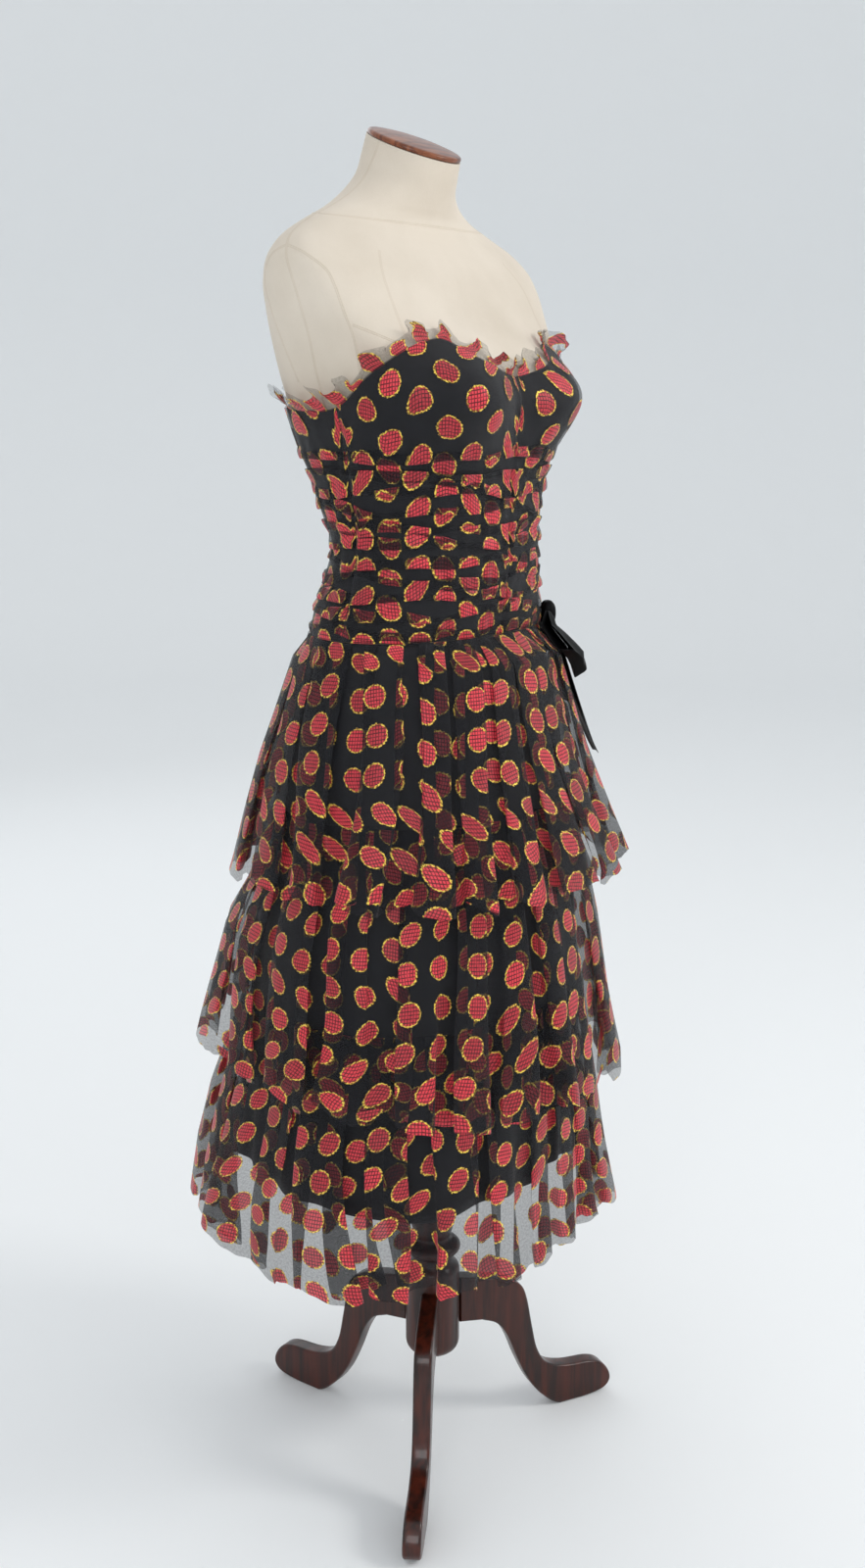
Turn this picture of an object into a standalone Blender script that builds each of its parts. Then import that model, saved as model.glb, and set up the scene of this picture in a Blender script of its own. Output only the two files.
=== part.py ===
"""Strapless party dress on a limbless dress form with a wooden tripod stand.

The form faces -Y and stands on z = 0. The cloth is a set of thin walls laid on the form:
a ruched bodice in four panels, a raw-edged frill, three gathered tiers of dotted net over
an opaque lining, a satin bow on the left hip and a zip down the centre back.
All sizes are in metres and all angles in tables are in degrees. An angle round the body
is 0 at the centre front, 90 at the form's left side and 180 at the centre back.
"""
import math
from collections import namedtuple

import bmesh
import bpy
import numpy as np

# The pole's place, which puts the origin under the middle of the whole.
POLE_X = 0.00099
POLE_Y = -0.04775

# Heights above the floor.
WAIST_SEAM = 1.047
HEM_TIER_1 = 0.772
HEM_TIER_2 = 0.530
HEM_TIER_3 = 0.322
HEM_LINING = 0.405

# Cloth and clearances.
SEAM_GAP = 0.0003
EASE = 0.0022
BODICE_WALL = 0.0020
NET_WALL = 0.0012
LINING_WALL = 0.0012
SATIN_WALL = 0.0012
TIER_CLEARANCE = 0.0005

# Ruching of the bodice. A lean is where a ruche's crest lies between its foot and its top.
RUCHES = 11
RUCHE_TOP = 1.252
RUCHE_HEIGHT = 0.0034
RUCHE_UNEVEN = 0.35
RUCHE_SAG = 0.0030
RUCHE_LEANS = (0.66, 0.30, 0.30)
VALLEY_LIFT = 0.15
SMOOTH_ROWS = 4
INNER_ROWS = 16
PANEL_SPANS = 9

# Frill along the top edge.
FRILL_HEIGHT = 0.020
FRILL_UNEVEN = 0.22
FRILL_WAVES = 27
FRILL_SAMPLES = 4

# Tiers of the skirt. The spread says how the waves grow from the gathers to the hem.
TIER_WAVES = 20
WAVE_SAMPLES = 5
WAVE_SPREAD = 1.2
LINING_SPANS = 40
LOW_HEM_ANGLE = 38.0

# Bust of the form.
BUST_ANGLE = 31.0
BUST_HEIGHT = 1.312
BUST_DEPTH = 0.037
BUST_SPREAD = 23.0
BUST_ABOVE = 0.050
BUST_BELOW = 0.060

# Zip at the centre back.
ZIP_WIDTH = 0.0074
ZIP_THICK = 0.0022
ZIP_TOP = 1.290
ZIP_BOTTOM = 1.052
ZIP_STEPS = 15
SLIDER_WIDTH = 0.0086
SLIDER_LENGTH = 0.0120
SLIDER_THICK = 0.0026
SLIDER_DROP = 0.0015
LUG_WIDTH = 0.0012
LUG_HEIGHT = 0.0036
LUG_GAP = 0.0004
PIN_BELOW_TOP = 0.012
PIN_STAND_OFF = 0.0066
PIN_RADIUS = 0.0008
PULL_WIDTH = 0.0050
PULL_LENGTH = 0.024
PULL_THICK = 0.0014
KNUCKLE_BORE = 0.0011
KNUCKLE_RADIUS = 0.0020

# Bow at the left hip.
BOW_ANGLE = 62.0
BOW_HEIGHT = 1.056
HIP_RADIUS = 0.150
KNOT_HALF_WIDTH = 0.0105
KNOT_HALF_HEIGHT = 0.0150
KNOT_HALF_DEPTH = 0.0080
KNOT_SEAT = 0.0009
UNDER_LOOPS = 0.055
LOOP_ROOT = 0.0040
LOOP_TUCK = 0.0002
LOOP_UNDER_LIFT = 0.0004
TAIL_APART = 0.0050
RIBBON_ROWS = 4
LOOP_STEPS = 9
TAIL_STEPS = 8

# Stand.
FORM_YAW = 52.0
LEGS = 3
LEG_LEAN = 5.4
LEG_THICK = 0.022
LEG_JOINT_LOW = 0.156
LEG_JOINT_HIGH = 0.218
BLOCK_RADIUS = 0.034

Section = namedtuple("Section", "height half_width front back centre square tilt")
FORM_SECTIONS = (
    Section(0.850, 0.168, 0.098, 0.112, 0.000, 2.2, 0.0),
    Section(0.890, 0.173, 0.102, 0.120, 0.000, 2.2, 0.0),
    Section(0.935, 0.172, 0.102, 0.122, 0.000, 2.2, 0.0),
    Section(0.990, 0.165, 0.095, 0.117, 0.000, 2.2, 0.0),
    Section(1.045, 0.156, 0.091, 0.108, 0.000, 2.2, 0.0),
    Section(1.080, 0.145, 0.095, 0.106, 0.000, 2.2, 0.0),
    Section(1.112, 0.134, 0.101, 0.094, 0.000, 2.2, 0.0),
    Section(1.140, 0.129, 0.102, 0.087, 0.000, 2.2, 0.0),
    Section(1.165, 0.130, 0.102, 0.094, 0.000, 2.2, 0.0),
    Section(1.190, 0.133, 0.103, 0.107, 0.000, 2.25, 0.0),
    Section(1.222, 0.139, 0.103, 0.117, 0.000, 2.35, 0.0),
    Section(1.250, 0.146, 0.105, 0.126, 0.000, 2.5, 0.0),
    Section(1.275, 0.153, 0.107, 0.130, 0.000, 2.7, 0.0),
    Section(1.300, 0.161, 0.107, 0.130, 0.001, 2.85, 0.0),
    Section(1.330, 0.171, 0.100, 0.127, 0.004, 3.0, 0.0),
    Section(1.360, 0.180, 0.088, 0.121, 0.009, 3.1, 0.0),
    Section(1.395, 0.192, 0.074, 0.108, 0.017, 3.1, 0.0),
    Section(1.425, 0.198, 0.065, 0.096, 0.025, 3.0, 0.0),
    Section(1.450, 0.197, 0.055, 0.082, 0.031, 2.7, 0.02),
    Section(1.470, 0.181, 0.046, 0.068, 0.036, 2.3, 0.05),
    Section(1.486, 0.150, 0.042, 0.060, 0.040, 2.0, 0.10),
    Section(1.500, 0.115, 0.043, 0.056, 0.042, 1.9, 0.16),
    Section(1.515, 0.084, 0.047, 0.052, 0.041, 2.0, 0.24),
    Section(1.532, 0.063, 0.049, 0.050, 0.037, 2.0, 0.31),
    Section(1.551, 0.055, 0.050, 0.052, 0.031, 2.0, 0.37),
    Section(1.570, 0.052, 0.050, 0.051, 0.026, 2.0, 0.41),
)

Ring = namedtuple("Ring", "height half_width front back")
LINING_RINGS = (
    Ring(WAIST_SEAM - 0.0005, 0.0, 0.0, 0.0),
    Ring(0.985, 0.1705, 0.115, 0.138),
    Ring(0.900, 0.184, 0.133, 0.158),
    Ring(0.790, 0.196, 0.148, 0.184),
    Ring(0.660, 0.206, 0.157, 0.222),
    Ring(0.530, 0.214, 0.160, 0.243),
    Ring(HEM_LINING, 0.220, 0.160, 0.262),
)
TIER_1_RINGS = (
    Ring(WAIST_SEAM - 0.0005, 0.158, 0.100, 0.117),
    Ring(1.018, 0.167, 0.135, 0.150),
    Ring(0.905, 0.195, 0.165, 0.199),
    Ring(HEM_TIER_1, 0.229, 0.216, 0.234),
)
TIER_2_RINGS = (
    Ring(0.850, 0.190, 0.143, 0.174),
    Ring(0.772, 0.207, 0.163, 0.205),
    Ring(0.700, 0.225, 0.177, 0.256),
    Ring(HEM_TIER_2, 0.254, 0.203, 0.306),
)
TIER_3_RINGS = (
    Ring(0.620, 0.209, 0.160, 0.230),
    Ring(0.470, 0.235, 0.174, 0.290),
    Ring(0.400, 0.246, 0.179, 0.307),
    Ring(HEM_TIER_3, 0.253, 0.190, 0.314),
)

Tier = namedtuple("Tier", "name rings top_wave hem_wave phase second hem_dip hem_tilt")
TIERS = (
    Tier("skirt_tier_1", TIER_1_RINGS, 0.0016, 0.0125, 20.0, 7, 0.003, 0.0),
    Tier("skirt_tier_2", TIER_2_RINGS, 0.0020, 0.0140, 95.0, 9, 0.004, 0.026),
    Tier("skirt_tier_3", TIER_3_RINGS, 0.0020, 0.0135, 200.0, 11, 0.004, 0.0),
)

FrillRow = namedtuple("FrillRow", "rise out wave")
FRILL_ROWS = (
    FrillRow(0.00, 0.0022, 0.0000),
    FrillRow(0.45, 0.0056, 0.0026),
    FrillRow(1.00, 0.0120, 0.0088),
)

BowPart = namedtuple("BowPart", "name side reach droop narrow wide swell stand_off")
BOW_LOOPS = (
    BowPart("bow_loop_front", -1, 0.072, 46.0, 0.014, 0.056, 0.020, 0.0042),
    BowPart("bow_loop_back", 1, 0.070, 38.0, 0.014, 0.054, 0.018, 0.0042),
)
BOW_TAILS = (
    BowPart("bow_tail_long", -1, 0.152, 80.0, 0.015, 0.040, 0.007, 0.0006),
    BowPart("bow_tail_short", 1, 0.105, 70.0, 0.015, 0.036, 0.012, 0.0028),
)

EdgePoint = namedtuple("EdgePoint", "angle height")
TOP_EDGE = (
    EdgePoint(0, 1.326),
    EdgePoint(12, 1.331),
    EdgePoint(30, 1.346),
    EdgePoint(45, 1.364),
    EdgePoint(56, 1.357),
    EdgePoint(70, 1.332),
    EdgePoint(88, 1.296),
    EdgePoint(110, 1.291),
    EdgePoint(145, 1.297),
    EdgePoint(180, 1.300),
)

LegPoint = namedtuple("LegPoint", "radius height")
LEG_OUTLINE = (
    LegPoint(0.102, 0.201),
    LegPoint(0.122, 0.187),
    LegPoint(0.131, 0.166),
    LegPoint(0.139, 0.125),
    LegPoint(0.147, 0.090),
    LegPoint(0.162, 0.066),
    LegPoint(0.190, 0.055),
    LegPoint(0.228, 0.051),
    LegPoint(0.246, 0.043),
    LegPoint(0.257, 0.028),
    LegPoint(0.258, 0.014),
    LegPoint(0.246, 0.004),
    LegPoint(0.216, 0.000),
    LegPoint(0.182, 0.000),
    LegPoint(0.157, 0.018),
    LegPoint(0.136, 0.045),
    LegPoint(0.119, 0.080),
    LegPoint(0.104, 0.117),
    LegPoint(0.088, 0.140),
    LegPoint(0.066, 0.151),
)

TurnPoint = namedtuple("TurnPoint", "radius height")
POST_PROFILE = (
    TurnPoint(0.055, 0.8497),
    TurnPoint(0.055, 0.838),
    TurnPoint(0.022, 0.834),
    TurnPoint(0.017, 0.815),
    TurnPoint(0.017, 0.345),
    TurnPoint(0.024, 0.328),
    TurnPoint(0.029, 0.306),
    TurnPoint(0.024, 0.287),
    TurnPoint(0.021, 0.279),
    TurnPoint(0.033, 0.274),
    TurnPoint(0.036, 0.268),
    TurnPoint(0.033, 0.262),
    TurnPoint(0.025, 0.257),
    TurnPoint(0.027, 0.248),
    TurnPoint(BLOCK_RADIUS, 0.240),
    TurnPoint(BLOCK_RADIUS, 0.136),
    TurnPoint(0.030, 0.128),
    TurnPoint(0.020, 0.124),
)

# Linear colours of the six materials.
CANVAS = (0.80, 0.70, 0.56)
NET = (0.10, 0.018, 0.022)
LINING_CLOTH = (0.012, 0.012, 0.017)
SATIN = (0.010, 0.010, 0.011)
MAHOGANY = (0.045, 0.018, 0.012)
ZIP_METAL = (0.05, 0.05, 0.055)


def new_material(name, colour, roughness, metallic=0.0):
    """A plain material in one colour."""
    material = bpy.data.materials.new(name)
    material.use_nodes = True
    shader = material.node_tree.nodes["Principled BSDF"]
    shader.inputs["Base Color"].default_value = (*colour, 1.0)
    shader.inputs["Roughness"].default_value = roughness
    shader.inputs["Metallic"].default_value = metallic
    return material


def add_object(name, data, material):
    """Puts a mesh or a curve into the dress's collection, at the pole's place."""
    if material.name not in data.materials:
        data.materials.append(material)
    obj = bpy.data.objects.new(name, data)
    obj.location = (POLE_X, POLE_Y, 0.0)
    bpy.data.collections["party_dress_on_form"].objects.link(obj)
    return obj


def add_mesh(name, points, faces, material, smooth=60.0):
    """A mesh object from points and faces, with its normals turned outwards."""
    mesh = bpy.data.meshes.new(name)
    mesh.from_pydata([tuple(map(float, point)) for point in points], [], faces)
    grid = bmesh.new()
    grid.from_mesh(mesh)
    bmesh.ops.recalc_face_normals(grid, faces=grid.faces)
    grid.to_mesh(mesh)
    grid.free()
    mesh.shade_smooth()
    mesh.set_sharp_from_angle(angle=math.radians(smooth))
    return add_object(name, mesh, material)


def smooth_column(rows, at, column):
    """One column of a table read at the heights `at` from a smooth curve through its rows."""
    heights = np.array([row.height for row in rows])
    values = np.array([getattr(row, column) for row in rows], float)
    slopes = np.gradient(values, heights)
    at = np.clip(at, heights[0], heights[-1])
    cell = np.clip(np.searchsorted(heights, at) - 1, 0, len(rows) - 2)
    step = heights[cell + 1] - heights[cell]
    t = (at - heights[cell]) / step
    rise = (1 + 2 * t) * (1 - t) ** 2 * values[cell] + t * t * (3 - 2 * t) * values[cell + 1]
    bend = t * (1 - t) ** 2 * slopes[cell] - t * t * (1 - t) * slopes[cell + 1]
    return rise + step * bend


def oval_radius(angle, half_width, front, back, square):
    """How far a rounded section reaches from its centre in the direction `angle`, in radians."""
    depth = np.where(np.cos(angle) >= 0, front, back)
    across = np.abs(np.sin(angle) / half_width) ** square
    along = np.abs(np.cos(angle) / depth) ** square
    return (across + along) ** (-1.0 / square)


def bust_swell(angle, height):
    """The two mounds of the bust, steeper below than above."""
    swell = 0.0
    spread = math.radians(BUST_SPREAD)
    rise = np.where(height > BUST_HEIGHT, BUST_ABOVE, BUST_BELOW)
    for side in (-1, 1):
        turn = (angle - side * math.radians(BUST_ANGLE)) / spread
        swell = swell + np.exp(-turn**2 - ((height - BUST_HEIGHT) / rise) ** 2)
    return BUST_DEPTH * swell


def form_surface(angle, height, out=0.0):
    """Points of the form's canvas, or of a cloth that lies `out` from it, measured level."""
    angle, height = np.broadcast_arrays(np.asarray(angle, float), np.asarray(height, float))
    column = {
        name: smooth_column(FORM_SECTIONS, height, name)
        for name in ("half_width", "front", "back", "centre", "square", "tilt")
    }
    turned = (angle + math.pi) % (2 * math.pi) - math.pi
    radius = oval_radius(turned, column["half_width"], column["front"], column["back"], column["square"])
    radius = radius + bust_swell(turned, height) + out
    across = radius * np.sin(angle)
    back = -radius * np.cos(angle)
    return np.stack([across, column["centre"] + back, height + column["tilt"] * back], axis=-1)


def zip_edges(low, high):
    """Triangles between two lines of points that run side by side, with different counts."""
    faces = []
    i, j = 0, 0
    while i < len(low) - 1 or j < len(high) - 1:
        ahead_low = (i + 1) / max(len(low) - 1, 1)
        ahead_high = (j + 1) / max(len(high) - 1, 1)
        if j == len(high) - 1 or (i < len(low) - 1 and ahead_low <= ahead_high):
            faces.append((low[i], low[i + 1], high[j]))
            i += 1
        else:
            faces.append((low[i], high[j + 1], high[j]))
            j += 1
    return faces


def split_square(points, corners, outward):
    """Two triangles from four corners, split along the diagonal that lies further out from
    the pole, or the one further in."""
    a, b, c, d = corners
    first = np.hypot(*(points[a] + points[c])[:2])
    second = np.hypot(*(points[b] + points[d])[:2])
    if (first < second) == outward:
        a, b, c, d = b, c, d, a
    return [(int(a), int(b), int(c)), (int(a), int(c), int(d))]


def wall_faces(outer, inner, closed):
    """Faces of a wall between two grids of points. Both have the same columns, but may differ
    in rows. A closed wall is a tube and has no side edges. Each square is split along the
    diagonal that lies further out, so that a wall never dips into the form."""
    points = np.concatenate([outer.reshape(-1, 3), inner.reshape(-1, 3)])
    rows_out, columns = outer.shape[:2]
    rows_in = inner.shape[0]
    first = np.arange(rows_out * columns).reshape(rows_out, columns)
    second = rows_out * columns + np.arange(rows_in * columns).reshape(rows_in, columns)
    faces = []
    for grid in (first, second):
        for row in range(len(grid) - 1):
            for column in range(columns if closed else columns - 1):
                after = (column + 1) % columns
                a, b = grid[row][column], grid[row][after]
                c, d = grid[row + 1][after], grid[row + 1][column]
                faces += split_square(points, (a, b, c, d), outward=True)
    for row_out, row_in in ((first[0], second[0]), (first[-1], second[-1])):
        for column in range(columns if closed else columns - 1):
            after = (column + 1) % columns
            faces.append((row_out[column], row_out[after], row_in[after]))
            faces.append((row_out[column], row_in[after], row_in[column]))
    if not closed:
        for column in (0, columns - 1):
            faces += zip_edges([row[column] for row in first], [row[column] for row in second])
    return [tuple(int(index) for index in face) for face in faces]


def add_wall(name, outer, inner, material, closed=False):
    """A closed solid between an outer and an inner grid of points, bottom row first."""
    points = np.concatenate([outer.reshape(-1, 3), inner.reshape(-1, 3)])
    return add_mesh(name, points, wall_faces(outer, inner, closed), material)


def add_turned(name, profile, steps, material):
    """A turned shape from a profile that runs down its outer side, closed at both ends."""
    ends = [(0.0, profile[0].height)] + [tuple(p) for p in profile] + [(0.0, profile[-1].height)]
    mesh = bpy.data.meshes.new(name)
    mesh.from_pydata([(r, 0.0, z) for r, z in ends], [(i, i + 1) for i in range(len(ends) - 1)], [])
    obj = add_object(name, mesh, material)
    screw = obj.modifiers.new("turn", "SCREW")
    screw.steps = steps
    screw.render_steps = steps
    screw.use_merge_vertices = True
    screw.merge_threshold = 0.0001
    screw.use_smooth_shade = True
    return obj


def top_edge(angle):
    """Height of the bodice's sweetheart edge, the same on both sides, read smoothly."""
    rows = [Section(p.angle, p.height, 0, 0, 0, 2, 0) for p in TOP_EDGE]
    turned = np.abs((np.degrees(angle) + 180) % 360 - 180)
    return smooth_column(rows, turned, "half_width")


def panel_edge(angle):
    """The top edge as the panels have it, straight between their columns."""
    columns = np.radians(np.linspace(-180, 180, 4 * PANEL_SPANS + 1))
    corners = form_surface(columns, top_edge(columns), EASE + BODICE_WALL / 2)
    corners[:, 1] -= smooth_column(FORM_SECTIONS, corners[:, 2], "centre")
    turned = (angle + math.pi) % (2 * math.pi) - math.pi
    cell = np.clip(np.searchsorted(columns, turned) - 1, 0, len(columns) - 2)
    near, far = corners[cell], corners[cell + 1]
    ray = np.stack([np.sin(angle), -np.cos(angle)], axis=-1)
    before = ray[:, 0] * near[:, 1] - ray[:, 1] * near[:, 0]
    after = ray[:, 0] * far[:, 1] - ray[:, 1] * far[:, 0]
    share = before / (before - after)
    return near[:, 2] + share * (far[:, 2] - near[:, 2])


def wobble(angle, row, size):
    """A slow, uneven rise and fall round the body, other for each row."""
    return size * (0.6 * np.sin(3 * angle + 2.1 * row) + 0.4 * np.sin(7 * angle + 3.7 * row + 1))


def ruche_rows(angle):
    """Heights and outward lift of the bodice's outer rows, bottom first, for each angle."""
    pitch = (RUCHE_TOP - WAIST_SEAM) / RUCHES
    heights, lifts = [np.full_like(angle, WAIST_SEAM)], [np.zeros_like(angle)]
    for k in range(RUCHES):
        foot = WAIST_SEAM + k * pitch
        lean = RUCHE_LEANS[k % len(RUCHE_LEANS)]
        crest = foot + lean * pitch + wobble(angle, k, RUCHE_SAG)
        valley = foot + pitch + wobble(angle, k + 0.5, RUCHE_SAG)
        swell = RUCHE_HEIGHT * (1 + RUCHE_UNEVEN * np.sin(5 * angle + 1.9 * k))
        heights += [crest, valley]
        lifts += [swell, VALLEY_LIFT * swell]
    edge = top_edge(angle)
    for k in range(1, SMOOTH_ROWS + 1):
        share = k / SMOOTH_ROWS
        heights.append((1 - share) * heights[2 * RUCHES] + share * edge)
        lifts.append(np.zeros_like(angle))
    return np.array(heights), np.array(lifts)


def panel_columns(first, last, heights, out):
    """Angle of every point of a panel, whose edges stop just short of a seam or the zip."""
    angle = np.radians(np.linspace(first, last, PANEL_SPANS + 1)) + 0 * heights
    out = out + 0 * heights
    for column, degrees, inwards in ((0, first, 1), (-1, last, -1)):
        gap = SEAM_GAP / 2
        if abs(degrees) == 180:
            gap = ZIP_WIDTH / 2 + SEAM_GAP
        edge = form_surface(angle[:, column], heights[:, column], out[:, column])
        centre = smooth_column(FORM_SECTIONS, heights[:, column], "centre")
        reach = np.hypot(edge[:, 0], edge[:, 1] - centre)
        angle[:, column] += inwards * gap / reach
    return angle


def bodice_panel(name, first, last, net):
    """One quarter of the bodice: a plain wall on the form, with the ruches raised outside."""
    columns = np.radians(np.linspace(first, last, PANEL_SPANS + 1))
    heights, lifts = ruche_rows(columns)
    out = EASE + BODICE_WALL + lifts
    outer = form_surface(panel_columns(first, last, heights, out), heights, out)
    share = np.linspace(0, 1, INNER_ROWS + 1)[:, None]
    heights = (1 - share) * WAIST_SEAM + share * top_edge(columns)[None, :]
    inner = form_surface(panel_columns(first, last, heights, EASE), heights, EASE)
    return add_wall(name, outer, inner, net)


def top_frill(net):
    """The raw net edge that stands up and out above the bodice in pointed waves."""
    count = FRILL_WAVES * FRILL_SAMPLES
    angle = np.arange(count) * 2 * math.pi / count
    wave = np.cos(FRILL_WAVES * angle + 0.9 * np.sin(4 * angle))
    tip = 0.8 * wave + 0.2 * np.cos(17 * angle + 2)
    edge = panel_edge(angle) + 2 * SEAM_GAP
    rise = FRILL_HEIGHT * (1 + FRILL_UNEVEN * np.sin(11 * angle))
    heights = np.array([edge + row.rise * rise for row in FRILL_ROWS])
    outs = np.array([row.out + row.wave * (tip if row.rise == 1 else wave) for row in FRILL_ROWS])
    inner = form_surface(angle[None, :], heights, outs)
    outer = form_surface(angle[None, :], heights, outs + NET_WALL)
    return add_wall("top_frill", outer, inner, net, closed=True)


def ring_radius(rings, angle, height):
    """Radius of a skirt cloth round the pole, straight between the rings of its table."""
    heights = [ring.height for ring in rings][::-1]
    read = {
        column: np.interp(height, heights, [getattr(ring, column) for ring in rings][::-1])
        for column in ("half_width", "front", "back")
    }
    return oval_radius(angle, read["half_width"], read["front"], read["back"], 2.0)


def around(angle, radius, height):
    """Points at a radius round the pole."""
    return np.stack([radius * np.sin(angle), -radius * np.cos(angle), height + 0 * radius], axis=-1)


def lining_radius(angle, height):
    """Inner radius of the lining: it hangs from the waist seam, where it lies on the form."""
    seam = form_surface(angle, np.full_like(angle, WAIST_SEAM), EASE)
    at_seam = np.hypot(seam[..., 0], seam[..., 1])
    top, second = LINING_RINGS[0].height, LINING_RINGS[1].height
    below = ring_radius(LINING_RINGS[1:], angle, np.minimum(height, second))
    share = np.clip((height - second) / (top - second), 0, 1)
    return share * at_seam + (1 - share) * below


def skirt_lining(cloth):
    """The opaque black underskirt, a plain flared tube."""
    angle = np.arange(LINING_SPANS) * 2 * math.pi / LINING_SPANS
    heights = np.array([ring.height for ring in LINING_RINGS[::-1]])[:, None] + 0 * angle
    inner = around(angle, lining_radius(angle + 0 * heights, heights), heights)
    outer = around(angle, lining_radius(angle + 0 * heights, heights) + LINING_WALL, heights)
    return add_wall("skirt_lining", outer, inner, cloth, closed=True)


def tier_wave(tier, angle):
    """How far each gather stands out, from -1 to 1, uneven round the skirt."""
    drift = 0.8 * np.sin(3 * angle + tier.phase) + 0.5 * np.sin(tier.second * angle)
    main = np.cos(TIER_WAVES * angle + math.radians(tier.phase) + drift)
    return 0.78 * main + 0.22 * np.cos(tier.second * angle + 2 * tier.phase)


def tier_radius(tier, angle, height, wave):
    """Inner radius of a tier, never closer to the lining than its clearance."""
    top, hem = tier.rings[0].height, tier.rings[-1].height
    fall = np.clip((top - height) / (top - hem), 0, 1)
    size = tier.top_wave + (tier.hem_wave - tier.top_wave) * fall**WAVE_SPREAD
    mean = ring_radius(tier.rings, angle, height)
    least = lining_radius(angle, height) + LINING_WALL + TIER_CLEARANCE + size
    return np.maximum(mean, least) + size * wave


def skirt_tier(tier, net):
    """One gathered tier of net, a tube whose waves grow from the gathered top to the hem."""
    count = TIER_WAVES * WAVE_SAMPLES
    angle = np.arange(count) * 2 * math.pi / count
    wave = tier_wave(tier, angle)
    heights = np.array([ring.height for ring in tier.rings[::-1]])[:, None] + 0 * angle
    heights[0] += tier.hem_dip * np.cos(5 * angle + tier.phase)
    heights[0] -= tier.hem_tilt * np.cos(angle - math.radians(LOW_HEM_ANGLE))
    radius = tier_radius(tier, angle + 0 * heights, heights, wave + 0 * heights)
    inner = around(angle, radius, heights)
    outer = around(angle, radius + NET_WALL, heights)
    return add_wall(tier.name, outer, inner, net, closed=True)


def dress_outside(angle, height):
    """The furthest that the bodice and the upper tier reach at an angle and a height."""
    above = form_surface(angle, np.maximum(height, WAIST_SEAM), EASE + BODICE_WALL)
    bodice = np.hypot(above[..., 0], above[..., 1]) + 1.35 * RUCHE_HEIGHT
    tier = tier_radius(TIERS[0], angle, np.minimum(height, WAIST_SEAM), 1.0 + 0 * angle) + NET_WALL
    return np.where(height > WAIST_SEAM, bodice, np.maximum(tier, bodice * (height > 1.02)))


def ribbon(part, start, along, out, satin):
    """A satin ribbon laid over the hip as one closed body. `along` is measured from the knot
    and `out` lifts it off the skirt, one value for each step. It widens away from the knot."""
    droop = math.radians(part.droop)
    run = np.array([part.side * math.cos(droop), -math.sin(droop)])
    cross = np.array([part.side * math.sin(droop), math.cos(droop)])
    share = np.clip(along / part.reach, 0, 1)
    width = part.narrow + (part.wide - part.narrow) * np.sin(share * math.pi / 2) ** 0.8
    shift = np.gradient(np.stack([along, out], axis=1), axis=0)
    shift /= np.linalg.norm(shift, axis=1)[:, None]
    sides = []
    for offset in (SATIN_WALL, 0.0):
        line = along - offset * shift[:, 1]
        lift = out + offset * shift[:, 0]
        rows = []
        for edge in np.linspace(-0.5, 0.5, RIBBON_ROWS):
            flat = start + line[:, None] * run + (edge * width)[:, None] * cross
            height = BOW_HEIGHT + flat[:, 1]
            angle = math.radians(BOW_ANGLE) + flat[:, 0] / HIP_RADIUS
            base = dress_outside(angle, height) + part.stand_off
            rows.append(around(angle, base + lift, height))
        sides.append(np.array(rows))
    return add_wall(part.name, sides[0], sides[1], satin)


def bow_loop(part, satin):
    """A loop of the bow: out along the top layer, round, and back along the under layer."""
    turn = np.linspace(0.0, math.pi, LOOP_STEPS)
    reach = part.reach * (1 - np.cos(turn)) / 2
    lift = LOOP_ROOT + part.swell * np.sin(turn) ** 0.7
    along = np.concatenate([reach, reach[:-1][::-1]])
    out = np.concatenate([lift, LOOP_UNDER_LIFT + 0 * reach[:-1]])
    tilt = part.narrow / 2 * math.sin(math.radians(part.droop))
    start = np.array([part.side * (KNOT_HALF_WIDTH - LOOP_TUCK + tilt), 0.0])
    return ribbon(part, start, along[::-1], out[::-1], satin)


def bow_tail(part, satin):
    """A loose tail of the bow, lying over the skirt with its end lifted a little."""
    along = np.linspace(0.0, part.reach, TAIL_STEPS)
    free = np.clip((along - UNDER_LOOPS) / (part.reach - UNDER_LOOPS), 0, 1)
    tilt = part.narrow / 2 * math.cos(math.radians(part.droop))
    start = np.array([part.side * TAIL_APART, -KNOT_HALF_HEIGHT - SEAM_GAP - tilt])
    return ribbon(part, start, along, part.swell * free**2, satin)


def bow_knot(satin):
    """The band round the middle of the bow, a rounded pad."""
    angle = math.radians(BOW_ANGLE)
    shape = bmesh.new()
    bmesh.ops.create_uvsphere(shape, u_segments=14, v_segments=9, radius=1.0)
    outside = float(dress_outside(np.array(angle), np.array(BOW_HEIGHT)))
    radius = outside + KNOT_HALF_DEPTH - KNOT_SEAT
    for vertex in shape.verts:
        x, y, z = vertex.co
        across = KNOT_HALF_WIDTH * math.copysign(abs(x) ** 0.7, x)
        deep = KNOT_HALF_DEPTH * math.copysign(abs(y) ** 0.8, y)
        reach = radius - deep
        sine, cosine = math.sin(angle), math.cos(angle)
        vertex.co = (
            reach * sine + across * cosine,
            -reach * cosine + across * sine,
            BOW_HEIGHT + KNOT_HALF_HEIGHT * math.copysign(abs(z) ** 0.8, z),
        )
    bmesh.ops.recalc_face_normals(shape, faces=shape.faces)
    mesh = bpy.data.meshes.new("bow_knot")
    shape.to_mesh(mesh)
    shape.free()
    mesh.shade_smooth()
    return add_object("bow_knot", mesh, satin)


def back_line(height, out):
    """Distance behind the pole of the centre back, at a height."""
    return form_surface(np.full_like(height, math.pi), height, out)[..., 1]


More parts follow.
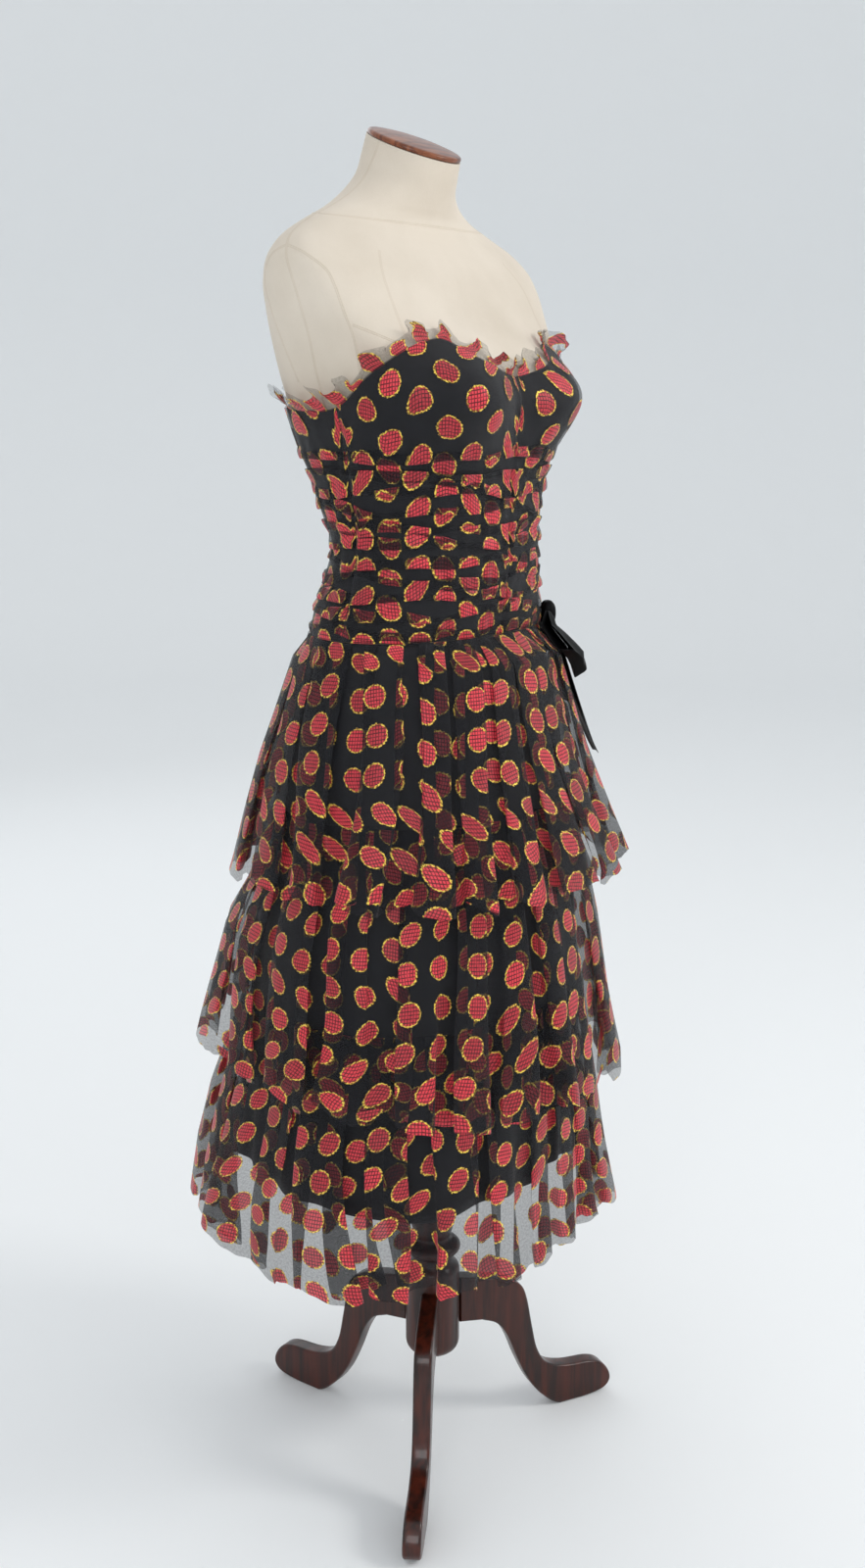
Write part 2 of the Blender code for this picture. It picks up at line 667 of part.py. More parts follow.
def zip_chain(metal):
    """The closed tape and teeth in the slot between the two back panels."""
    heights = np.linspace(ZIP_BOTTOM, ZIP_TOP, ZIP_STEPS)
    across = np.array([-0.5, 0.5]) * ZIP_WIDTH
    sides = []
    for out in (EASE, EASE + ZIP_THICK):
        y = back_line(heights, out)
        sides.append(np.array([[(x, y[i], heights[i]) for x in across] for i in range(len(y))]))
    return add_wall("zip_chain", sides[1], sides[0], metal)


def zip_slider_place():
    """The pin of the slider: its distance behind the pole and its height. The tab hangs clear
    of the chain's fullest point along its own length."""
    height = ZIP_TOP - PIN_BELOW_TOP
    beside = np.array([height - PULL_LENGTH, height])
    surface = float(back_line(beside, EASE + ZIP_THICK).max())
    return surface + PIN_STAND_OFF, height


def box(width, depth, height, centre):
    """A box as a mesh for a boolean union."""
    shape = bmesh.new()
    bmesh.ops.create_cube(shape, size=1.0)
    for vertex in shape.verts:
        vertex.co = (
            centre[0] + vertex.co.x * width,
            centre[1] + vertex.co.y * depth,
            centre[2] + vertex.co.z * height,
        )
    return shape


def add_helper(name, shape):
    """A helper shape for a boolean, left out of the part."""
    mesh = bpy.data.meshes.new(name)
    shape.to_mesh(mesh)
    shape.free()
    obj = bpy.data.objects.new(name, mesh)
    obj.location = (POLE_X, POLE_Y, 0.0)
    obj.hide_render = True
    obj.display_type = "WIRE"
    bpy.data.collections["cutters"].objects.link(obj)
    return obj


def zip_slider(metal):
    """The slider at the top of the zip: a plate with two lugs and the pin between them."""
    pin_y, pin_z = zip_slider_place()
    base_y = pin_y - PIN_STAND_OFF + SEAM_GAP
    middle = (0.0, base_y + SLIDER_THICK / 2, pin_z - SLIDER_DROP)
    plate = box(SLIDER_WIDTH, SLIDER_THICK, SLIDER_LENGTH, middle)
    mesh = bpy.data.meshes.new("zip_slider")
    plate.to_mesh(mesh)
    plate.free()
    slider = add_object("zip_slider", mesh, metal)
    lug_x = PULL_WIDTH / 2 + LUG_GAP + LUG_WIDTH / 2
    reach = pin_y + LUG_HEIGHT / 2 - base_y
    parts = []
    for side in (-1, 1):
        lug = box(LUG_WIDTH, reach, LUG_HEIGHT, (side * lug_x, base_y + reach / 2, pin_z))
        parts.append(add_helper(f"lug_{side}", lug))
    pin = bmesh.new()
    bmesh.ops.create_cone(
        pin, cap_ends=True, segments=12, radius1=PIN_RADIUS, radius2=PIN_RADIUS, depth=2 * lug_x
    )
    for vertex in pin.verts:
        x, y, z = vertex.co
        vertex.co = (z, pin_y + x, pin_z + y)
    bmesh.ops.recalc_face_normals(pin, faces=pin.faces)
    parts.append(add_helper("pin", pin))
    for helper in parts:
        union = slider.modifiers.new(helper.name, "BOOLEAN")
        union.operation = "UNION"
        union.solver = "EXACT"
        union.object = helper
    return slider


def circle_points(radius, count, centre):
    """Points round a circle, anticlockwise."""
    turns = [2 * math.pi * i / count for i in range(count)]
    return [(centre[0] + radius * math.cos(t), centre[1] + radius * math.sin(t)) for t in turns]


def add_outline(name, outlines, thickness, material):
    """A plate cut from closed outlines in its own XY plane, the first one outside."""
    curve = bpy.data.curves.new(name, "CURVE")
    curve.dimensions = "2D"
    curve.fill_mode = "BOTH"
    curve.extrude = thickness / 2
    for points in outlines:
        spline = curve.splines.new("POLY")
        spline.points.add(len(points) - 1)
        for point, (x, y) in zip(spline.points, points):
            point.co = (x, y, 0.0, 1.0)
        spline.use_cyclic_u = True
    return add_object(name, curve, material)


def zip_pull(metal):
    """The pull tab: a knuckle round the slider's pin and a flat tab that hangs from it."""
    pin_y, pin_z = zip_slider_place()
    half = PULL_THICK / 2
    start = math.asin(half / KNUCKLE_RADIUS)
    knuckle = [
        (KNUCKLE_RADIUS * math.sin(t), -KNUCKLE_RADIUS * math.cos(t))
        for t in np.linspace(start, 2 * math.pi - start, 17)
    ]
    outline = [(-half, -PULL_LENGTH), (half, -PULL_LENGTH)] + knuckle
    tab = add_outline("zip_pull", [outline, circle_points(KNUCKLE_BORE, 12, (0.0, 0.0))], PULL_WIDTH, metal)
    tab.rotation_euler = (math.radians(90), 0.0, math.radians(90))
    tab.location = (POLE_X, POLE_Y + pin_y, pin_z)
    return tab


def form_torso(canvas):
    """The padded canvas form, closed by a flat board under the hips and a flat neck top."""
    heights = np.array([row.height for row in FORM_SECTIONS])
    between = (heights[:-1] + heights[1:]) / 2
    full = (between > 1.24) & (between < 1.36)
    heights = np.sort(np.concatenate([heights, between[full]]))
    count = 4 * PANEL_SPANS
    angle = np.arange(count) * 2 * math.pi / count
    grid = form_surface(angle[None, :], heights[:, None])
    points = grid.reshape(-1, 3)
    index = np.arange(len(points)).reshape(len(heights), count)
    faces = [tuple(int(i) for i in index[0][::-1]), tuple(int(i) for i in index[-1])]
    for row in range(len(heights) - 1):
        for column in range(count):
            after = (column + 1) % count
            a, b = index[row][column], index[row][after]
            c, d = index[row + 1][after], index[row + 1][column]
            faces += split_square(points, (a, b, c, d), outward=False)
    return add_mesh("form_torso", points, faces, canvas)


def neck_cap(wood):
    """The polished wooden disc on the neck, tilted as the neck's top is."""
    top = FORM_SECTIONS[-1]
    profile = (
        TurnPoint(0.018, 0.0096),
        TurnPoint(0.036, 0.0084),
        TurnPoint(0.050, 0.0064),
        TurnPoint(0.0532, 0.0046),
        TurnPoint(0.0532, 0.0016),
        TurnPoint(0.0522, SEAM_GAP),
    )
    cap = add_turned("neck_cap", profile, 32, wood)
    cap.rotation_euler = (math.atan(top.tilt), 0.0, 0.0)
    cap.location = (POLE_X, POLE_Y + top.centre, top.height)
    return cap


def stand_post(wood):
    """The turned post: a flange under the form, a plain shaft, a ring and the leg block."""
    return add_turned("stand_post", POST_PROFILE, 18, wood)


def stand_leg(name, turn, wood):
    """One cabriole leg, sawn from a board, its inner end against the block."""
    inner = BLOCK_RADIUS + SEAM_GAP
    outline = [(inner, LEG_JOINT_LOW), (inner, LEG_JOINT_HIGH)] + [tuple(p) for p in LEG_OUTLINE]
    leg = add_outline(name, [outline[::-1]], LEG_THICK, wood)
    leg.rotation_euler = (math.radians(90), 0.0, math.radians(turn))
    return leg


def build():
    """Clears the scene and makes every piece."""
    for obj in list(bpy.data.objects):
        bpy.data.objects.remove(obj)
    for name in ("party_dress_on_form", "cutters"):
        bpy.context.scene.collection.children.link(bpy.data.collections.new(name))
    bpy.data.collections["cutters"].hide_render = True
    canvas = new_material("form_canvas", CANVAS, 0.9)
    net = new_material("dotted_net", NET, 0.7)
    cloth = new_material("lining_cloth", LINING_CLOTH, 0.8)
    satin = new_material("bow_satin", SATIN, 0.35)
    wood = new_material("mahogany", MAHOGANY, 0.25)
    metal = new_material("zip_metal", ZIP_METAL, 0.4, metallic=0.8)

    form_torso(canvas)
    neck_cap(wood)
    stand_post(wood)
    for k in range(LEGS):
        # Turned from +X. The form is turned on its post, so that no leg lies under its front.
        stand_leg(f"stand_leg_{k + 1}", -90.0 - FORM_YAW - LEG_LEAN + 360.0 / LEGS * k, wood)

    bodice_panel("bodice_front_right", -90, 0, net)
    bodice_panel("bodice_front_left", 0, 90, net)
    bodice_panel("bodice_back_left", 90, 180, net)
    bodice_panel("bodice_back_right", -180, -90, net)
    top_frill(net)
    skirt_lining(cloth)
    for tier in TIERS:
        skirt_tier(tier, net)

    for part in BOW_LOOPS:
        bow_loop(part, satin)
    for part in BOW_TAILS:
        bow_tail(part, satin)
    bow_knot(satin)

    zip_chain(metal)
    zip_slider(metal)
    zip_pull(metal)


build()
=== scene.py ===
"""Looks of a strapless party dress on a limbless canvas form with a mahogany tripod stand.

The cloth pieces are thin surfaces laid on the form of the solids that they stand for. Every
surface is a function of an angle round the body and a height, worked out as whole arrays.
All sizes are in metres unless a name says otherwise. Angles in tables are in degrees: 0 is the
centre front, 90 the form's left side and 180 the centre back.
"""
import math
from collections import namedtuple

import bpy
import numpy as np
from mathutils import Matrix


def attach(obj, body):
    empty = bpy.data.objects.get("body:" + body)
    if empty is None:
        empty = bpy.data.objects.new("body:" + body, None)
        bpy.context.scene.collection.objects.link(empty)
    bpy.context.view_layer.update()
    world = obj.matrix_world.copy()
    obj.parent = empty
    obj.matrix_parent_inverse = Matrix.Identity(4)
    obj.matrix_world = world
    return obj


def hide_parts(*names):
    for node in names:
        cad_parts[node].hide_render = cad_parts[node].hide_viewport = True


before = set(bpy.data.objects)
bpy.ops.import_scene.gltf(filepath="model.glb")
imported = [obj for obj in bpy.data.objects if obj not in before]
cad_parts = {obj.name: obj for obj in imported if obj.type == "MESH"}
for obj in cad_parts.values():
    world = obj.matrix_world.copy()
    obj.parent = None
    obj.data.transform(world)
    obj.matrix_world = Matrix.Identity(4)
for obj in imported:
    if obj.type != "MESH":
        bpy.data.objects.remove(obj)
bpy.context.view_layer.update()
DRESS = "dress_form_stand"

# The pole's place, and the camera that the photograph was taken with.
POLE_X = 0.00099
POLE_Y = -0.04775
VIEW_TURN = 52.0
VIEW_DISTANCE = 1.912
VIEW_HEIGHT = 1.299
VIEW_DROP = 12.9
FOCAL_PIXELS = 1700.0
PHOTO_WIDTH = 883
PHOTO_HEIGHT = 1600
POLE_COLUMN = 441.5
SENSOR_HEIGHT = 36.0

# Heights above the floor.
WAIST_SEAM = 1.047
HEM_TIER_1 = 0.772
HEM_TIER_2 = 0.530
HEM_TIER_3 = 0.322
HEM_LINING = 0.405

# Cloth and clearances. The shown wall is that of the underskirt and the ribbons.
EASE = 0.0022
BODICE_WALL = 0.0020
NET_WALL = 0.0012
LINING_WALL = 0.0012
SHOWN_WALL = 0.0006

# Ruching of the bodice. Its two radii turn a length of cloth into an angle.
RUCHES = 11
RUCHE_TOP = 1.252
RUCHE_HEIGHT = 0.0034
RUCHE_UNEVEN = 0.35
RUCHE_SAG = 0.0030
RUCHE_LEANS = (0.66, 0.30, 0.30)
RUCHE_TUCK = 0.0085
PANEL_COLUMNS = 140
PANEL_GAP = 0.0004
SIDE_RADIUS = 0.14
BACK_RADIUS = 0.11
CUP_ROWS = 40
SEAM_TURN = 0.006
BACKING_OUT = 0.0036
BACKING_COLUMNS = 192
BACKING_ROWS = 40

# Frill along the top edge.
FRILL_HEIGHT = 0.020
FRILL_WAVES = 27
FRILL_COLUMNS = 1080
FRILL_ROWS = 12

# Tiers of the skirt and the lining under them.
LINING_COLUMNS = 288
LINING_ROWS = 50
TIER_WAVES = 20
TIER_COLUMNS = 900
TIER_ROWS = 80
WAVE_SPREAD = 1.2
LOW_HEM_ANGLE = 38.0

# The form, its seams and its bust.
FORM_COLUMNS = 240
SEAM_STEPS = 24
SEAM_DEPTH = 0.0003
PRINCESS_DEPTH = 0.00012
NECK_BASE = 1.4915
BUST_ANGLE = 31.0
BUST_HEIGHT = 1.312
BUST_DEPTH = 0.037
BUST_SPREAD = 23.0
BUST_ABOVE = 0.050
BUST_BELOW = 0.060

# Zip at the centre back.
ZIP_WIDTH = 0.0074
ZIP_TOP = 1.290
ZIP_BOTTOM = 1.052
TOOTH_PITCH = 0.0025
TOOTH_HALF_SIZE = (0.0013, 0.0006, 0.0005)

# Bow at the left hip.
RIBBON_ROWS = 41
KNOT_OVERLAP = 0.002
BOW_ANGLE = 62.0
BOW_HEIGHT = 1.056
HIP_RADIUS = 0.150
KNOT_HALF_WIDTH = 0.0105
KNOT_HALF_HEIGHT = 0.0150
KNOT_HALF_DEPTH = 0.0080
KNOT_SEAT = 0.0009
UNDER_LOOPS = 0.055
LOOP_ROOT = 0.0040
LOOP_TUCK = 0.0002
LOOP_TOP = 0.0026
LOOP_UNDER = 0.0018
TAIL_APART = 0.0050
SEAM_GAP = 0.0003

# Stand.
TURNED_COLUMNS = 80
TURNED_STEP = 0.0030
POLE_HOLE = 0.0001
FORM_YAW = 52.0
LEGS = 3
LEG_LEAN = 5.4
LEG_THICK = 0.022
LEG_ROUNDING = 0.0035
LEG_JOINT_LOW = 0.156
LEG_JOINT_HIGH = 0.218
BLOCK_RADIUS = 0.034

# Dots woven into the net.
DOT_PITCH = 0.044
DOT_RADIUS_MM = 14.2
RIM_WIDTH_MM = 1.8

Section = namedtuple("Section", "height half_width front back centre square tilt")
FORM_SECTIONS = (
    Section(0.850, 0.168, 0.098, 0.112, 0.000, 2.2, 0.0),
    Section(0.890, 0.173, 0.102, 0.120, 0.000, 2.2, 0.0),
    Section(0.935, 0.172, 0.102, 0.122, 0.000, 2.2, 0.0),
    Section(0.990, 0.165, 0.095, 0.117, 0.000, 2.2, 0.0),
    Section(1.045, 0.156, 0.091, 0.108, 0.000, 2.2, 0.0),
    Section(1.080, 0.145, 0.095, 0.106, 0.000, 2.2, 0.0),
    Section(1.112, 0.134, 0.101, 0.094, 0.000, 2.2, 0.0),
    Section(1.140, 0.129, 0.102, 0.087, 0.000, 2.2, 0.0),
    Section(1.165, 0.130, 0.102, 0.094, 0.000, 2.2, 0.0),
    Section(1.190, 0.133, 0.103, 0.107, 0.000, 2.25, 0.0),
    Section(1.222, 0.139, 0.103, 0.117, 0.000, 2.35, 0.0),
    Section(1.250, 0.146, 0.105, 0.126, 0.000, 2.5, 0.0),
    Section(1.275, 0.153, 0.107, 0.130, 0.000, 2.7, 0.0),
    Section(1.300, 0.161, 0.107, 0.130, 0.001, 2.85, 0.0),
    Section(1.330, 0.171, 0.100, 0.127, 0.004, 3.0, 0.0),
    Section(1.360, 0.180, 0.088, 0.121, 0.009, 3.1, 0.0),
    Section(1.395, 0.192, 0.074, 0.108, 0.017, 3.1, 0.0),
    Section(1.425, 0.198, 0.065, 0.096, 0.025, 3.0, 0.0),
    Section(1.450, 0.197, 0.055, 0.082, 0.031, 2.7, 0.02),
    Section(1.470, 0.181, 0.046, 0.068, 0.036, 2.3, 0.05),
    Section(1.486, 0.150, 0.042, 0.060, 0.040, 2.0, 0.10),
    Section(1.500, 0.115, 0.043, 0.056, 0.042, 1.9, 0.16),
    Section(1.515, 0.084, 0.047, 0.052, 0.041, 2.0, 0.24),
    Section(1.532, 0.063, 0.049, 0.050, 0.037, 2.0, 0.31),
    Section(1.551, 0.055, 0.050, 0.052, 0.031, 2.0, 0.37),
    Section(1.570, 0.052, 0.050, 0.051, 0.026, 2.0, 0.41),
)

Ring = namedtuple("Ring", "height half_width front back")
LINING_RINGS = (
    Ring(WAIST_SEAM - 0.0005, 0.0, 0.0, 0.0),
    Ring(0.985, 0.1705, 0.115, 0.138),
    Ring(0.900, 0.184, 0.133, 0.158),
    Ring(0.790, 0.196, 0.148, 0.184),
    Ring(0.660, 0.206, 0.157, 0.222),
    Ring(0.530, 0.214, 0.160, 0.243),
    Ring(HEM_LINING, 0.220, 0.160, 0.262),
)
TIER_1_RINGS = (
    Ring(WAIST_SEAM - 0.0005, 0.158, 0.100, 0.117),
    Ring(1.018, 0.167, 0.135, 0.150),
    Ring(0.905, 0.195, 0.165, 0.199),
    Ring(HEM_TIER_1, 0.229, 0.216, 0.234),
)
TIER_2_RINGS = (
    Ring(0.850, 0.190, 0.143, 0.174),
    Ring(0.772, 0.207, 0.163, 0.205),
    Ring(0.700, 0.225, 0.177, 0.256),
    Ring(HEM_TIER_2, 0.254, 0.203, 0.306),
)
TIER_3_RINGS = (
    Ring(0.620, 0.209, 0.160, 0.230),
    Ring(0.470, 0.235, 0.174, 0.290),
    Ring(0.400, 0.246, 0.179, 0.307),
    Ring(HEM_TIER_3, 0.253, 0.190, 0.314),
)

Tier = namedtuple("Tier", "name rings top_wave hem_wave phase second hem_dip hem_tilt doubling")
TIERS = (
    Tier("skirt_tier_1", TIER_1_RINGS, 0.0022, 0.0125, 20.0, 7, 0.003, 0.0, (3.6, 3.3, 2.6, 2.0)),
    Tier("skirt_tier_2", TIER_2_RINGS, 0.0026, 0.0140, 95.0, 9, 0.004, 0.026, (2.6, 2.5, 2.3, 2.0)),
    Tier("skirt_tier_3", TIER_3_RINGS, 0.0026, 0.0135, 200.0, 11, 0.006, 0.0, (2.6, 2.5, 2.3, 2.0)),
)
# Shares of a tier's fall at which its doubling is given.
DOUBLING_FALL = (0.0, 0.2, 0.5, 1.0)

# Fine gathers that start at a tier's seam and die out after a share of its length.
Gather = namedtuple("Gather", "count size reach turn")
GATHERS = (
    Gather(113, 0.0007, 0.08, 0.3),
    Gather(71, 0.0008, 0.20, 1.9),
    Gather(47, 0.0009, 0.60, 4.0),
)

FrillRow = namedtuple("FrillRow", "height out wave")
FRILL_PROFILE = (
    FrillRow(0.00, 0.0028, 0.0000),
    FrillRow(0.45, 0.0062, 0.0030),
    FrillRow(1.00, 0.0126, 0.0092),
)

EdgePoint = namedtuple("EdgePoint", "angle height")
TOP_EDGE = (
    EdgePoint(0, 1.326),
    EdgePoint(12, 1.331),
    EdgePoint(30, 1.346),
    EdgePoint(45, 1.364),
    EdgePoint(56, 1.357),
    EdgePoint(70, 1.332),
    EdgePoint(88, 1.296),
    EdgePoint(110, 1.291),
    EdgePoint(145, 1.297),
    EdgePoint(180, 1.300),
)

# Seams of the canvas on the form's right side; the left side mirrors them.
ARMHOLE_SEAM = (
    EdgePoint(-91.5, 1.4565),
    EdgePoint(-86.0, 1.4500),
    EdgePoint(-82.2, 1.4410),
    EdgePoint(-79.2, 1.4300),
    EdgePoint(-77.8, 1.4165),
    EdgePoint(-76.8, 1.3905),
    EdgePoint(-75.8, 1.3600),
    EdgePoint(-76.5, 1.3200),
)
ARM_CENTRE_SEAM = (
    EdgePoint(-91.5, 1.4565),
    EdgePoint(-90.8, 1.4175),
    EdgePoint(-91.7, 1.3880),
    EdgePoint(-93.8, 1.3570),
    EdgePoint(-95.8, 1.3255),
    EdgePoint(-97.0, 1.2900),
)
SHOULDER_SEAM = (
    EdgePoint(-96.2, 1.5690),
    EdgePoint(-99.0, 1.5420),
    EdgePoint(-95.0, 1.5150),
    EdgePoint(-92.5, 1.4870),
    EdgePoint(-91.5, 1.4565),
)
BUST_DART = (
    EdgePoint(-75.2, 1.3760),
    EdgePoint(-65.8, 1.3630),
    EdgePoint(-55.0, 1.3480),
)
PRINCESS_SEAM = (
    EdgePoint(-66.5, 1.4550),
    EdgePoint(-64.0, 1.4145),
    EdgePoint(-60.0, 1.3700),
    EdgePoint(-55.0, 1.3300),
)

BowPart = namedtuple("BowPart", "name side reach droop narrow wide swell stand_off")
BOW_LOOPS = (
    BowPart("bow_loop_front", -1, 0.072, 46.0, 0.014, 0.056, 0.020, 0.0042),
    BowPart("bow_loop_back", 1, 0.070, 38.0, 0.014, 0.054, 0.018, 0.0042),
)
BOW_TAILS = (
    BowPart("bow_tail_long", -1, 0.152, 80.0, 0.015, 0.040, 0.007, 0.0006),
    BowPart("bow_tail_short", 1, 0.105, 70.0, 0.015, 0.036, 0.012, 0.0028),
)

LegPoint = namedtuple("LegPoint", "radius height")
LEG_OUTLINE = (
    LegPoint(0.102, 0.201),
    LegPoint(0.122, 0.187),
    LegPoint(0.131, 0.166),
    LegPoint(0.139, 0.125),
    LegPoint(0.147, 0.090),
    LegPoint(0.162, 0.066),
    LegPoint(0.190, 0.055),
    LegPoint(0.228, 0.051),
    LegPoint(0.246, 0.043),
    LegPoint(0.257, 0.028),
    LegPoint(0.258, 0.014),
    LegPoint(0.246, 0.004),
    LegPoint(0.216, 0.000),
    LegPoint(0.182, 0.000),
    LegPoint(0.157, 0.018),
    LegPoint(0.136, 0.045),
    LegPoint(0.119, 0.080),
    LegPoint(0.104, 0.117),
    LegPoint(0.088, 0.140),
    LegPoint(0.066, 0.151),
)

TurnPoint = namedtuple("TurnPoint", "radius height")
POST_PROFILE = (
    TurnPoint(0.055, 0.8497),
    TurnPoint(0.055, 0.838),
    TurnPoint(0.022, 0.834),
    TurnPoint(0.017, 0.815),
    TurnPoint(0.017, 0.345),
    TurnPoint(0.024, 0.328),
    TurnPoint(0.029, 0.306),
    TurnPoint(0.024, 0.287),
    TurnPoint(0.021, 0.279),
    TurnPoint(0.033, 0.274),
    TurnPoint(0.036, 0.268),
    TurnPoint(0.033, 0.262),
    TurnPoint(0.025, 0.257),
    TurnPoint(0.027, 0.248),
    TurnPoint(BLOCK_RADIUS, 0.240),
    TurnPoint(BLOCK_RADIUS, 0.136),
    TurnPoint(0.030, 0.128),
    TurnPoint(0.020, 0.124),
)
CAP_PROFILE = (
    TurnPoint(0.0010, 0.0100),
    TurnPoint(0.0180, 0.0096),
    TurnPoint(0.0360, 0.0084),
    TurnPoint(0.0500, 0.0064),
    TurnPoint(0.0526, 0.0054),
    TurnPoint(0.0533, 0.0040),
    TurnPoint(0.0533, 0.0020),
    TurnPoint(0.0524, 0.0005),
)


def linear(text):
    """A colour from its sRGB hex value."""
    share = np.array([int(text[i : i + 2], 16) for i in (1, 3, 5)]) / 255
    value = np.where(share <= 0.04045, share / 12.92, ((share + 0.055) / 1.055) ** 2.4)
    return (*value.tolist(), 1.0)


def add_node(tree, kind, inputs=None, **settings):
    """Adds a shader node with its settings, and links or fills its inputs."""
    node = tree.nodes.new("ShaderNode" + kind)
    for name, value in settings.items():
        setattr(node, name, value)
    set_inputs(tree, node, inputs or {})
    return node


def new_material(name):
    """A material with its tree and its Principled shader."""
    material = bpy.data.materials.new(name)
    material.use_nodes = True
    return material, material.node_tree, material.node_tree.nodes["Principled BSDF"]


def set_inputs(tree, node, inputs):
    """Fills or links a node's inputs by name or number."""
    for name, value in inputs.items():
        if isinstance(value, bpy.types.NodeSocket):
            tree.links.new(value, node.inputs[name])
        else:
            node.inputs[name].default_value = value


def dotted_net(name, turn, veil, stray):
    """Black nylon net with woven dots: each has a red cross-hatched middle and a rim of gold
    thread. `turn` is the grain's angle on the piece in degrees, `veil` is how much one layer of
    bare net hides and `stray` is how far, in metres, the columns of dots slip past each other.
    The net's holes are 1 mm, too fine to show, so the net is an even veil with a soft grain
    2 mm across."""
    material, tree, shader = new_material(name)
    cloth = add_node(tree, "TexCoord").outputs["UV"]
    grain = add_node(tree, "Mapping", {"Vector": cloth, "Rotation": (0.0, 0.0, math.radians(turn))})
    metres = grain.outputs["Vector"]
    cells = add_node(
        tree, "VectorMath", {0: metres, "Scale": 1 / DOT_PITCH}, operation="SCALE"
    ).outputs["Vector"]
    column = add_node(
        tree, "VectorMath", {0: cells, 1: (1.0, 0.0, 0.0)}, operation="MULTIPLY"
    ).outputs["Vector"]
    column = add_node(tree, "VectorMath", {0: column}, operation="FLOOR").outputs["Vector"]
    slip = add_node(tree, "TexWhiteNoise", {"Vector": column}, noise_dimensions="3D").outputs["Value"]
    slip = add_node(tree, "CombineXYZ", {"Y": slip}).outputs["Vector"]
    slip = add_node(
        tree, "VectorMath", {0: slip, "Scale": stray / DOT_PITCH}, operation="SCALE"
    ).outputs["Vector"]
    cells = add_node(tree, "VectorMath", {0: cells, 1: slip}, operation="ADD").outputs["Vector"]
    corner = add_node(tree, "VectorMath", {0: cells}, operation="FLOOR").outputs["Vector"]
    chance = add_node(tree, "TexWhiteNoise", {"Vector": corner}, noise_dimensions="3D")
    inside = add_node(tree, "VectorMath", {0: cells}, operation="FRACTION").outputs["Vector"]
    middle = add_node(
        tree, "VectorMath", {0: inside, 1: (0.5, 0.5, 0.0)}, operation="SUBTRACT"
    ).outputs["Vector"]
    flat = add_node(
        tree, "VectorMath", {0: middle, 1: (1.0, 1.0, 0.0)}, operation="MULTIPLY"
    ).outputs["Vector"]
    reach = add_node(tree, "VectorMath", {0: flat}, operation="LENGTH").outputs["Value"]
    ragged = add_node(
        tree, "TexNoise", {"Vector": metres, "Scale": 420.0, "Detail": 1.0}
    ).outputs["Fac"]
    ragged_mm = add_node(
        tree, "MapRange", {0: ragged, 1: 0.3, 2: 0.7, 3: -0.85, 4: 0.85}
    ).outputs["Result"]
    radius_mm = add_node(
        tree, "Math", {0: reach, 1: DOT_PITCH * 1000, 2: ragged_mm}, operation="MULTIPLY_ADD"
    ).outputs["Value"]
    dot = add_node(
        tree, "MapRange", {0: radius_mm, 1: DOT_RADIUS_MM, 2: DOT_RADIUS_MM - 0.4}
    ).outputs["Result"]
    core_mm = DOT_RADIUS_MM - RIM_WIDTH_MM
    rim = add_node(
        tree, "MapRange", {0: radius_mm, 1: core_mm - 0.3, 2: core_mm + 0.3}
    ).outputs["Result"]

    # Cross-hatch: dark threads 3.5 mm apart one way and 4.1 mm the other, broken by noise.
    parts = add_node(tree, "SeparateXYZ", {0: cloth})
    hatch = []
    for axis, pitch in (("X", 0.0035), ("Y", 0.0041)):
        turned = add_node(
            tree, "Math", {0: parts.outputs[axis], 1: 2 * math.pi / pitch}, operation="MULTIPLY"
        )
        wave = add_node(tree, "Math", {0: turned.outputs[0]}, operation="SINE")
        hatch.append(add_node(tree, "MapRange", {0: wave.outputs[0], 1: 0.25, 2: 0.9}).outputs["Result"])
    threads = add_node(tree, "Math", {0: hatch[0], 1: hatch[1]}, operation="MAXIMUM").outputs["Value"]
    broken = add_node(
        tree, "TexNoise", {"Vector": metres, "Scale": 190.0, "Detail": 3.0}
    ).outputs["Fac"]
    shade = add_node(tree, "Math", {0: threads, 1: broken}, operation="MULTIPLY").outputs["Value"]
    shade = add_node(tree, "MapRange", {0: shade, 1: 0.05, 2: 0.50}).outputs["Result"]
    red = add_node(
        tree,
        "Mix",
        {0: shade, 6: linear("#E43D4A"), 7: linear("#540A12")},
        data_type="RGBA",
    ).outputs[2]
    tone = add_node(
        tree, "MapRange", {0: chance.outputs["Value"], 3: 0.62, 4: 1.12}
    ).outputs["Result"]
    red = add_node(tree, "HueSaturation", {"Color": red, "Value": tone}).outputs["Color"]

    # Gold thread: painted glints, bright spots about 3 mm long between dark ones, stand in for the
    # sparkle of the metal thread.
    glint = add_node(
        tree, "TexNoise", {"Vector": metres, "Scale": 360.0, "Detail": 2.0}
    ).outputs["Fac"]
    glint = add_node(tree, "MapRange", {0: glint, 1: 0.42, 2: 0.56}).outputs["Result"]
    gold = add_node(
        tree,
        "Mix",
        {0: glint, 6: linear("#744618"), 7: linear("#FADA58")},
        data_type="RGBA",
    ).outputs[2]
    woven = add_node(tree, "Mix", {0: rim, 6: red, 7: gold}, data_type="RGBA").outputs[2]
    colour = add_node(
        tree, "Mix", {0: dot, 6: linear("#15151A"), 7: woven}, data_type="RGBA"
    ).outputs[2]

